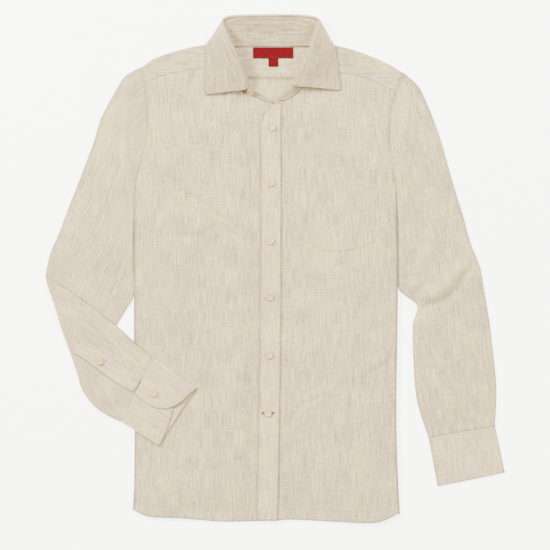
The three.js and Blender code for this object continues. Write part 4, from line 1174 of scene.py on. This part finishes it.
def pocket():
    width, height = POCKET_SIZE
    us = marked(width, POCKET_PITCH, near=(CLOSE_STITCH,), far=(CLOSE_STITCH,))
    vs = marked(height, POCKET_PITCH, near=(CLOSE_STITCH,), far=(POCKET_HEM,))
    points = patch(*[line(POCKET[side]) for side in ("bottom", "top", "front", "side")])(us, vs)
    points[..., 2] = front_left_z(points[..., 0], points[..., 1]) + POCKET_LIFT
    points[..., 2] += groove(((1 - vs) * height)[:, None], POCKET_HEM, SHALLOW_GROOVE)
    made = shell("pocket_cloth", points, POCKET_CLOTH, points[..., :2], cloth, edge=POCKET_EDGE_SHADE)
    paths = [row(points, nearest(vs * height, mark)) for mark in (CLOSE_STITCH, height - POCKET_HEM)]
    paths += [column(points, nearest(us * width, mark)) for mark in (CLOSE_STITCH, width - CLOSE_STITCH)]
    sunk = (CLOTH - POCKET_CLOTH) / 2
    paths = [(places - facing * sunk, facing) for places, facing in paths]
    return made, stitches("pocket_stitches", paths, thread)


# Sleeves and cuffs: a tape of two layers, one ring of points at each step along it
def tape_rings(middle, ups, shown_lift, hidden_lift=0.0):
    """Rings round rows of middle points; ups are the rows' directions from the middle to the first layer."""
    ups = ups[:, None, :]
    across = unit(np.gradient(middle, axis=1))
    first = middle + ups * HALF_TAPE
    second = middle - ups * HALF_TAPE
    first[..., 2] += shown_lift
    second[..., 2] += hidden_lift

    def turned(end, outward):
        centre, aside = middle[:, end], outward * across[:, end]
        return [
            centre + ups * HALF_TAPE * math.cos(turn) + aside * HALF_TAPE * math.sin(turn)
            for turn in TAPE_TURNS
        ]

    far, near = turned(slice(-1, None), 1), turned(slice(0, 1), -1)
    return np.concatenate([first, *far, second[:, ::-1], *near[::-1], first[:, :1]], 1)


def fold_shade(rings, count):
    """Painted edge shade of a tape with this many columns in a layer: full round both folded edges."""
    shade = np.zeros(rings.shape[:2])
    turns = len(TAPE_TURNS)
    shade[:, 0] = FOLD_PAINTED_SHADE
    for start in (count, 2 * count + turns):
        shade[:, start:start + turns] = 1
        shade[:, [start - 1, start + turns]] = FOLD_PAINTED_SHADE
    return shade


def tube_grain(rings):
    """Distance round each ring from the middle of its layer, and along the tube."""
    round_steps = np.linalg.norm(np.diff(rings, axis=1), axis=2)
    around = np.concatenate([np.zeros((len(rings), 1)), np.cumsum(round_steps, axis=1)], 1)
    along_steps = np.mean(np.linalg.norm(np.diff(rings, axis=0), axis=2), axis=1)
    along = np.concatenate([[0], np.cumsum(along_steps)])
    layer_size = rings.shape[1] // 2
    middles = around[:, [layer_size // 2, layer_size + layer_size // 2]]
    centred = around - np.repeat(middles, [layer_size, rings.shape[1] - layer_size], axis=1)
    return np.stack(np.broadcast_arrays(centred, along[:, None]), -1)


def layer_fade(us):
    return (smooth(0, 0.12, us) * smooth(1, 0.88, us))[None, :]


def sleeve_middle(name, overarm, underarm, end, us, vs, raised_share):
    """Middle points from the armhole to the end line, raised over the turned side in its upper share."""
    points = np.vstack([[(*SHOULDER[name][0], 0)], armhole_points[name][::-1]])
    gaps = np.full(len(points), OUTWARD[name] * SEAM_GAP)
    gaps[-1] *= UNDERARM_GAP
    points[:, 0] += gaps
    armhole = knotted(LAYER_SHARES, points)
    near = line([tuple(point_at(armhole, 0.0)), *overarm[1:]])
    far = line([tuple(point_at(armhole, 1.0)), *underarm[1:]])
    middle = patch(armhole, end, near, far)(us, vs)
    raised_by = below_sleeve(middle[..., 0], middle[..., 1])
    middle[..., 2] = FIRST_LAYER + HALF_TAPE + np.where(vs[:, None] < raised_share, raised_by, 0)
    return middle


def left_sleeve():
    us, vs = (np.linspace(0, 1, LEFT_SLEEVE_GRID[way]) for way in ("columns", "rows"))
    middle = sleeve_middle("left", LEFT_OVERARM, LEFT_UNDERARM, line(CUFF_SEAM_LEFT), us, vs, 0.3)
    x, y = middle[..., 0], middle[..., 1]
    loft = LOFT * (smooth(0, 0.1, vs) * smooth(1, 0.92, vs))[:, None]
    lift = (relief(FOLDS_LEFT_SLEEVE, x, y) + ripple(x, y) + loft) * layer_fade(us)
    rings = tape_rings(middle, np.tile(UP, (len(vs), 1)), np.maximum(lift, LOWEST_TAPE_DIP))
    grain = np.stack([rings @ SLEEVE_ACROSS, rings @ SLEEVE_ALONG], -1)
    return shell("sleeve_left_cloth", rings, CLOTH, grain, cloth, None, SEAM_PAINTED_SHADE, fold_shade(rings, len(us)))


def cuff_left():
    depth = CUFF_DEPTH["left"]
    seam = line([(x + CUFF_SEAM_SIDE, y - SEAM_GAP) for x, y in CUFF_SEAM_LEFT])
    hem = line(CUFF_HEM_LEFT)
    us = np.linspace(0, 1, LEFT_CUFF_COLUMNS)
    vs = marked(depth, CUFF_PITCH, near=(CLOSE_STITCH,), far=(EDGE_STITCH,))
    marks = (CLOSE_STITCH, depth - EDGE_STITCH)
    middle = seam(us)[None] * (1 - vs[:, None, None]) + hem(us)[None] * vs[:, None, None]
    middle[..., 2] = FIRST_LAYER + HALF_TAPE
    lift = np.maximum(ripple(middle[..., 0], middle[..., 1]), 0) * layer_fade(us)
    for mark in marks:
        lift = lift + groove((vs * depth)[:, None], mark, CUFF_GROOVE)
    rings = tape_rings(middle, np.tile(UP, (len(vs), 1)), lift)
    shade = fold_shade(rings, len(us))
    made = shell("cuff_left_cloth", rings, CLOTH, tube_grain(rings), trim, None, CUFF_PAINTED_SHADE, shade)
    paths = [on_top(rings[nearest(vs * depth, mark), :len(us)]) for mark in marks]
    return made, stitches("cuff_left_stitches", paths, thread)


def right_sleeve():
    """The upper sleeve, the bend at the elbow and the forearm that lies back over the front."""
    ways = ("columns", "upper_rows", "lower_rows")
    us, upper_vs, lower_vs = (np.linspace(0, 1, RIGHT_SLEEVE_GRID[way]) for way in ways)
    elbow = line(RIGHT_ELBOW)
    upper = sleeve_middle("right", RIGHT_OVERARM, RIGHT_UNDERARM, elbow, us, upper_vs, 0.6)
    x, y = upper[..., 0], upper[..., 1]
    upper_lift = relief(FOLDS_RIGHT_SLEEVE, x, y) + ripple(x, y) + LOFT * smooth(0, 0.1, upper_vs)[:, None]
    upper_lift = np.maximum(upper_lift * layer_fade(us) * smooth(*ELBOW_FADE, y), LOWEST_TAPE_DIP)

    along_elbow = unit(point_at(elbow, 1.0) - point_at(elbow, 0.0))
    away = np.array([along_elbow[1], -along_elbow[0], 0])
    bends = []
    for turn in ELBOW_TURNS:
        bulge = LAYER * math.cos(turn) * smooth(0, 0.1, us) * smooth(1, 0.94, us)
        bend = elbow(us) + away * bulge[:, None]
        bend[:, 2] = ELBOW_AXIS_Z + LAYER * math.sin(turn)
        bends.append(bend)
    bend_ups = [-away * math.cos(turn) - UP * math.sin(turn) for turn in ELBOW_TURNS]

    lower = patch(elbow, line(CUFF_SEAM_RIGHT), line(FOREARM_UPPER), line(FOREARM_LOWER))(us, lower_vs)
    x, y = lower[..., 0], lower[..., 1]
    lower[..., 2] = forearm_z(x, y)
    gathered = relief(FOLDS_FOREARM, x, y) + relief(CREASES_FOREARM, x, y) + ripple(x, y)

    middle = np.concatenate([upper, bends, lower])
    ups = np.concatenate([np.tile(UP, (len(upper), 1)), bend_ups, np.tile(-UP, (len(lower), 1))])
    first_lift, second_lift = np.zeros((2, *middle.shape[:2]))
    first_lift[:len(upper)] = upper_lift
    second_lift[-len(lower):] = gathered * layer_fade(us)
    rings = tape_rings(middle, ups, first_lift, second_lift)
    shade = fold_shade(rings, len(us))
    return shell("sleeve_right_cloth", rings, CLOTH, tube_grain(rings), cloth, None, SEAM_PAINTED_SHADE, shade)


def cuff_right():
    """One band that starts at its under end, goes below and comes over to the flap."""
    seam, hem = line(CUFF_SEAM_RIGHT), line(CUFF_HEM_RIGHT)
    depth = CUFF_DEPTH["right"]
    vs = marked(depth, CUFF_PITCH, near=(CLOSE_STITCH,), far=(EDGE_STITCH,))
    marks = (CLOSE_STITCH, depth - EDGE_STITCH)
    across = unit(point_at(seam, 1.0) - point_at(seam, 0.0))

    def place(share, end, layer, side=0.0):
        start = point_at(seam, share)
        begin = start + unit(end - start) * SEAM_GAP
        points = begin + (end - begin) * vs[:, None] + across * side
        points[:, 2] = forearm_z(points[:, 0], points[:, 1]) - HALF_TAPE + layer * LAYER
        return points

    def spread_over(shares, edge, layer):
        ends = edge(np.linspace(0, 1, len(shares)))
        return [place(share, end, layer) for share, end in zip(shares, ends)]

    counts = RIGHT_CUFF_COLUMNS
    columns = spread_over(np.linspace(CUFF_UNDER_SHARE, 1, counts["under"]), line(CUFF_UNDER_EDGE), 1)
    columns += [place(1, point_at(hem, 1.0), layer, HALF_TAPE * 0.8) for layer in (0.85, 0.5, 0.15)]
    columns += [place(share, point_at(hem, share), 0) for share in np.linspace(1, 0, counts["below"])]
    columns += [place(0, point_at(hem, 0.0), layer, -HALF_TAPE * 1.6) for layer in (0.35, 1.0, 1.65)]
    flap_start = len(columns)
    columns += spread_over(np.linspace(0, CUFF_FLAP_SHARE, counts["flap"]), line(CUFF_FLAP_EDGE), 2)
    grid = np.stack(columns, 1)
    flap = grid[:, flap_start:]
    flap[..., 2] += sum(groove((vs * depth)[:, None], mark, CUFF_GROOVE) for mark in marks)
    # Painted shade along the flap's free edge, the under end and the hem
    shade = np.zeros(grid.shape[:2])
    shade[3:, -1] = 1
    shade[:, 0] = CUFF_UNDER_EDGE_SHADE
    shade[-1, :] = CUFF_HEM_SHADE
    grain = along_rows(grid.transpose(1, 0, 2)).transpose(1, 0, 2)
    made = shell("cuff_right_cloth", grid, CLOTH, grain, trim, edge=CUFF_PAINTED_SHADE, shade=shade)
    paths = [on_top(flap[nearest(vs * depth, mark)]) for mark in marks]
    return made, stitches("cuff_right_stitches", [*paths, on_top(flap[:, -3])], thread)


def gauntlet():
    edge = line(GAUNTLET_EDGE)
    away = unit(point_at(edge, 1.0) - point_at(edge, 0.0))
    aside = np.array([-away[1], away[0], 0])
    us = marked(GAUNTLET_WIDTH, NARROW_PITCH, near=(CLOSE_STITCH,), far=(CLOSE_STITCH,))
    vs = np.linspace(0, 1, GAUNTLET_ROWS)
    taper = smooth(0, 0.15, vs + 0.1)
    points = edge(vs)[:, None] + aside * (us[None, :] * GAUNTLET_WIDTH * taper[:, None])[..., None]
    x, y = points[..., 0], points[..., 1]
    lift = relief(FOLDS_FOREARM, x, y) + 0.9 * relief(CREASES_FOREARM, x, y)
    points[..., 2] = forearm_z(x, y) + HALF_TAPE + LAYER + lift + SEAM_GAP
    # Painted shade along the free edge
    shade = np.zeros(points.shape[:2])
    shade[:, 0] = 1
    grain = along_rows(points)[..., ::-1]
    made = shell(
        "gauntlet_right_cloth", points, CLOTH, grain, trim, edge=GAUNTLET_EDGE_SHADE, shade=shade)
    marks = [nearest(us * GAUNTLET_WIDTH, mark) for mark in (CLOSE_STITCH, GAUNTLET_WIDTH - CLOSE_STITCH)]
    paths = [on_top(points[:, mark]) for mark in marks] + [on_top(points[end]) for end in GAUNTLET_END_ROWS]
    return made, stitches("gauntlet_right_stitches", paths, thread)


# Buttons, buttonholes and labels
def ring_quads(rings, sides, first=0, closed=False):
    """Quads from each ring of points to the next, and from the last to the first where it is closed."""
    quads = []
    for ring in range(rings if closed else rings - 1):
        here, there = first + ring * sides, first + (ring + 1) % rings * sides
        for side in range(sides):
            after = (side + 1) % sides
            quads.append([here + side, there + side, there + after, here + after])
    return quads


def button_mesh():
    """A turned button with a rim and four holes, round the origin with its base at zero."""
    angles = np.linspace(0, 2 * np.pi, BUTTON_SIDES, endpoint=False)
    x, y = BUTTON_RADII[:, None] * np.cos(angles), BUTTON_RADII[:, None] * np.sin(angles)
    rim = smooth(BUTTON_RADIUS - RIM_WIDTH - 0.6, BUTTON_RADIUS - RIM_WIDTH, BUTTON_RADII)
    round_off = smooth(BUTTON_RADIUS - 0.7, BUTTON_RADIUS, BUTTON_RADII) ** 2
    top = BUTTON_HEIGHT - RIM_HEIGHT
    z = np.repeat((top + RIM_HEIGHT * rim - 0.9 * round_off)[:, None], BUTTON_SIDES, 1)
    for hole_x in (-HOLE_OFFSET, HOLE_OFFSET):
        for hole_y in (-HOLE_OFFSET, HOLE_OFFSET):
            distance = np.hypot(x - hole_x, y - hole_y)
            z -= HOLE_DEPTH * smooth(HOLE_RADIUS + 0.12, HOLE_RADIUS - 0.12, distance)
    low = np.stack([x[-1], y[-1], np.full(BUTTON_SIDES, 0.5)], -1)
    base = np.stack([x[-1] * 0.9, y[-1] * 0.9, np.zeros(BUTTON_SIDES)], -1)
    rings = np.concatenate([np.stack([x, y, z], -1), [low], [base]])
    vertices = np.concatenate([[[0, 0, top]], rings.reshape(-1, 3)])
    faces = [[0, 1 + side, 1 + (side + 1) % BUTTON_SIDES] for side in range(BUTTON_SIDES)]
    faces += ring_quads(len(rings), BUTTON_SIDES, first=1)
    faces.append([len(vertices) - 1 - side for side in range(BUTTON_SIDES)])
    # Darker tone at the outer rim, partly the button's own golden-brown rim and partly painted shade, and
    # painted shade in the hollow at the inner foot of the rim
    from_middle = np.hypot(vertices[:, 0], vertices[:, 1])
    shade = smooth(4.7, 5.5, from_middle) + 0.8 * np.exp(-(((from_middle - 4.0) / 0.4) ** 2))
    return vertices, faces, np.clip(shade, 0, 1)


def capsule(start, end, radius, sides=6):
    """Vertices and faces of a rounded length of thread."""
    along = unit(end - start)
    side = unit(np.cross(along, [0.3, 0.2, 1.0]))
    up = np.cross(side, along)
    places = (start - along * radius, start, (start + end) / 2, end, end + along * radius)
    vertices = []
    for place, share in zip(places, (0.25, 0.9, 1.0, 0.9, 0.25)):
        for turn in np.linspace(0, 2 * np.pi, sides, endpoint=False):
            vertices.append(place + radius * share * (side * math.cos(turn) + up * math.sin(turn)))
    faces = [[a, d, c, b] for a, b, c, d in ring_quads(len(places), sides)]
    faces += [list(range(sides))[::-1], [len(vertices) - sides + index for index in range(sides)]]
    return vertices, faces


def button(node_name, tilt=np.eye(3), moved=(0.0, 0.0, 0.0)):
    """A button and its thread in place of a node; it gives the x and y of the button's middle."""
    low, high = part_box(node_name)
    base = ((np.array(low) + np.array(high)) / 2 - SHIFT) / MM
    base[2] = low[2] / MM
    base += moved
    vertices, faces, shade = BUTTON_MESH
    made = make_object(f"{node_name}_turned", vertices @ tilt.T + base, faces, button_plastic, shade=shade)
    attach(made, "root")
    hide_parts(node_name)
    height = BUTTON_HEIGHT - RIM_HEIGHT + BUTTON_THREAD_LIFT
    sewn_vertices, sewn_faces = [], []
    for hole_y in (-HOLE_OFFSET, HOLE_OFFSET):
        for offset in BUTTON_THREAD_OFFSETS:
            start = np.array([-HOLE_OFFSET, hole_y + offset, height])
            end = np.array([HOLE_OFFSET, hole_y + offset, height])
            new_vertices, new_faces = capsule(start, end, BUTTON_THREAD_RADIUS)
            first = len(sewn_vertices)
            sewn_vertices += [tilt @ vertex + base for vertex in new_vertices]
            sewn_faces += [[corner + first for corner in face] for face in new_faces]
    sewn = make_object(f"{node_name}_thread", np.array(sewn_vertices), sewn_faces, button_thread)
    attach(sewn, "root")
    return base[:2]


def buttonhole(name, centre, material, shift, length, angle, width, radius):
    """A worked buttonhole: a flat ring of close stitches round a slit."""
    turn = np.array([[math.cos(angle), -math.sin(angle)], [math.sin(angle), math.cos(angle)]])
    steps = np.linspace(0, 2 * np.pi, BUTTONHOLE_STEPS, endpoint=False)
    x = (length - width) / 2 * np.sign(np.cos(steps)) * np.minimum(1.0, np.abs(np.cos(steps)) * 1.6)
    x += width / 2 * np.cos(steps)
    path = np.stack([x, width / 2 * np.sin(steps)], 1) @ turn.T + centre + shift
    z = placket_top(path[:, 0], path[:, 1])
    ahead = unit(np.roll(path, -1, axis=0) - np.roll(path, 1, axis=0))
    vertices = []
    for index, (point, forward) in enumerate(zip(path, ahead)):
        swell = 1.0 + 0.12 * (index % 2)
        for side_turn in np.linspace(0, 2 * np.pi, BUTTONHOLE_SIDES, endpoint=False):
            aside = radius * swell * math.cos(side_turn)
            height = z[index] + 0.45 * radius * math.sin(side_turn)
            vertices.append([point[0] - forward[1] * aside, point[1] + forward[0] * aside, height])
    faces = ring_quads(BUTTONHOLE_STEPS, BUTTONHOLE_SIDES, closed=True)
    made = make_object(name, np.array(vertices), faces, material)
    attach(made, "root")
    return made


def label(node_name, area, curl):
    """A tape whose lower edge curls up towards its ends, and its grid of points."""
    (x0, x1), (y0, y1) = area["x"], area["y"]
    us = np.linspace(0, 1, LABEL_GRID["columns"])[None, :]
    vs = np.linspace(0, 1, LABEL_GRID["rows"])[:, None]
    z = LABEL_Z + curl * (1 - vs) ** 2 * (0.6 + 0.4 * np.cos(us * 2 * np.pi))
    points = np.stack(np.broadcast_arrays(x0 + (x1 - x0) * us, y0 + (y1 - y0) * vs, z), -1)
    return shell(f"{node_name}_tape", points, LABEL_WALL, points[..., :2], red_tape), points


BUTTON_MESH = button_mesh()


def build():
    back = back_panel()
    declare(back, "back")
    right, right_sewn = front_panel("right")
    declare(right, "front_right", pieces=[right_sewn])
    left, left_sewn = front_panel("left")
    declare(left, "front_left", pieces=[left_sewn])
    yoke, yoke_sewn = yoke_panel()
    declare(yoke, "yoke", pieces=[yoke_sewn])
    fine = np.linspace(0, len(COLLAR) - 1, COLLAR_STEPS * (len(COLLAR) - 1) + 1)
    stand_sections, leaf_sections = collar_sections(fine)
    stand, stand_sewn = collar_stand(fine, stand_sections)
    leaf, leaf_sewn = collar_leaf(fine, leaf_sections)
    declare(stand, "collar_stand", pieces=[stand_sewn])
    declare(leaf, "collar_leaf",
            pieces=[leaf_sewn])
    strip, strip_sewn = placket()
    declare(strip, "placket_left", pieces=[strip_sewn])
    patch_pocket, pocket_sewn = pocket()
    declare(patch_pocket, "pocket", pieces=[pocket_sewn])
    sleeve_l = left_sleeve()
    declare(sleeve_l, "sleeve_left")
    cuff_l, cuff_l_sewn = cuff_left()
    declare(cuff_l, "cuff_left", pieces=[cuff_l_sewn])
    sleeve_r = right_sleeve()
    declare(sleeve_r, "sleeve_right")
    cuff_r, cuff_r_sewn = cuff_right()
    declare(cuff_r, "cuff_right", pieces=[cuff_r_sewn])
    strip_r, strip_r_sewn = gauntlet()
    declare(strip_r, "gauntlet_right", pieces=[strip_r_sewn])

    for number in range(1, FRONT_BUTTONS + 1):
        last = number == FRONT_BUTTONS
        material, cut = (red_thread, RED_BUTTONHOLE) if last else (thread, BUTTONHOLE)
        centre = button(f"button_front_{number}")
        hole = buttonhole(f"buttonhole_{number}", centre, material, **cut)
    button("button_gauntlet")
    button("button_cuff")
    lean = COLLAR_BUTTON_LEAN
    along = np.array([math.cos(lean["turn"]), math.sin(lean["turn"]), 0.0])
    across = np.cross(UP, along) * math.cos(lean["tilt"]) + UP * math.sin(lean["tilt"])
    button("button_collar", np.stack([along, across, np.cross(along, across)], 1), lean["moved"])

    tape, points = label("neck_label", NECK_LABEL, 0.25)
    edges = [on_top(edge, LABEL_WALL) for edge in (points[1], points[:, 0], points[:, -1])]
    tape_sewn = stitches("neck_label_stitches", edges, red_tape_edge, 0.2)
    top_sewn = stitches("neck_label_top_stitches", [on_top(points[-1], LABEL_WALL)], light_thread, 0.35)
    declare(tape, "neck_label", pieces=[tape_sewn, top_sewn])
    tab, _ = label("size_tab", SIZE_TAB, 0.35)
    declare(tab, "size_tab")


# Stage: floor, soft light and a camera straight above
def stage():
    corners = [(-FLOOR_HALF, -FLOOR_HALF, 0), (FLOOR_HALF, -FLOOR_HALF, 0)]
    corners += [(FLOOR_HALF, FLOOR_HALF, 0), (-FLOOR_HALF, FLOOR_HALF, 0)]
    mesh = bpy.data.meshes.new("floor")
    mesh.from_pydata(corners, [], [(0, 1, 2, 3)])
    floor = bpy.data.objects.new("floor", mesh)
    bpy.context.scene.collection.objects.link(floor)
    white = plain_material(
        "floor_white", (0.955, 0.96, 0.965), (0.975, 0.98, 0.985), 0.8, (1.5, 1.5, 1.5),
        bump=0.0, specular=0.1)
    shader = found_node(white.node_tree, "BSDF_PRINCIPLED")
    shader.inputs["Emission Color"].default_value = (1, 1, 1, 1)
    shader.inputs["Emission Strength"].default_value = FLOOR_GLOW
    mesh.materials.append(white)

    world = bpy.data.worlds.new("studio")
    bpy.context.scene.world = world
    world.use_nodes = True
    background = found_node(world.node_tree, "BACKGROUND")
    background.inputs["Color"].default_value = (*WORLD_COLOUR, 1)
    background.inputs["Strength"].default_value = WORLD_STRENGTH

    for name, lamp in LAMPS.items():
        light = bpy.data.lights.new(name, "AREA")
        light.energy = lamp["power"]
        light.color = LAMP_COLOUR
        light.size = lamp["size"]
        x, y, z = lamp["place"]
        source = bpy.data.objects.new(name, light)
        source.location = (x, y, z)
        source.rotation_euler = (math.atan2(math.hypot(x, y), z), 0, math.atan2(y, x) + math.pi / 2)
        bpy.context.scene.collection.objects.link(source)

    camera = bpy.data.cameras.new("camera")
    camera.sensor_width = SENSOR
    camera.lens = SENSOR * CAMERA_HEIGHT / VIEW_WIDTH
    camera.clip_end = 50
    viewer = bpy.data.objects.new("camera", camera)
    viewer.location = (VIEW_CENTRE[0] * MM + SHIFT[0], VIEW_CENTRE[1] * MM + SHIFT[1], CAMERA_HEIGHT)
    bpy.context.scene.collection.objects.link(viewer)
    bpy.context.scene.camera = viewer


stage()
build()
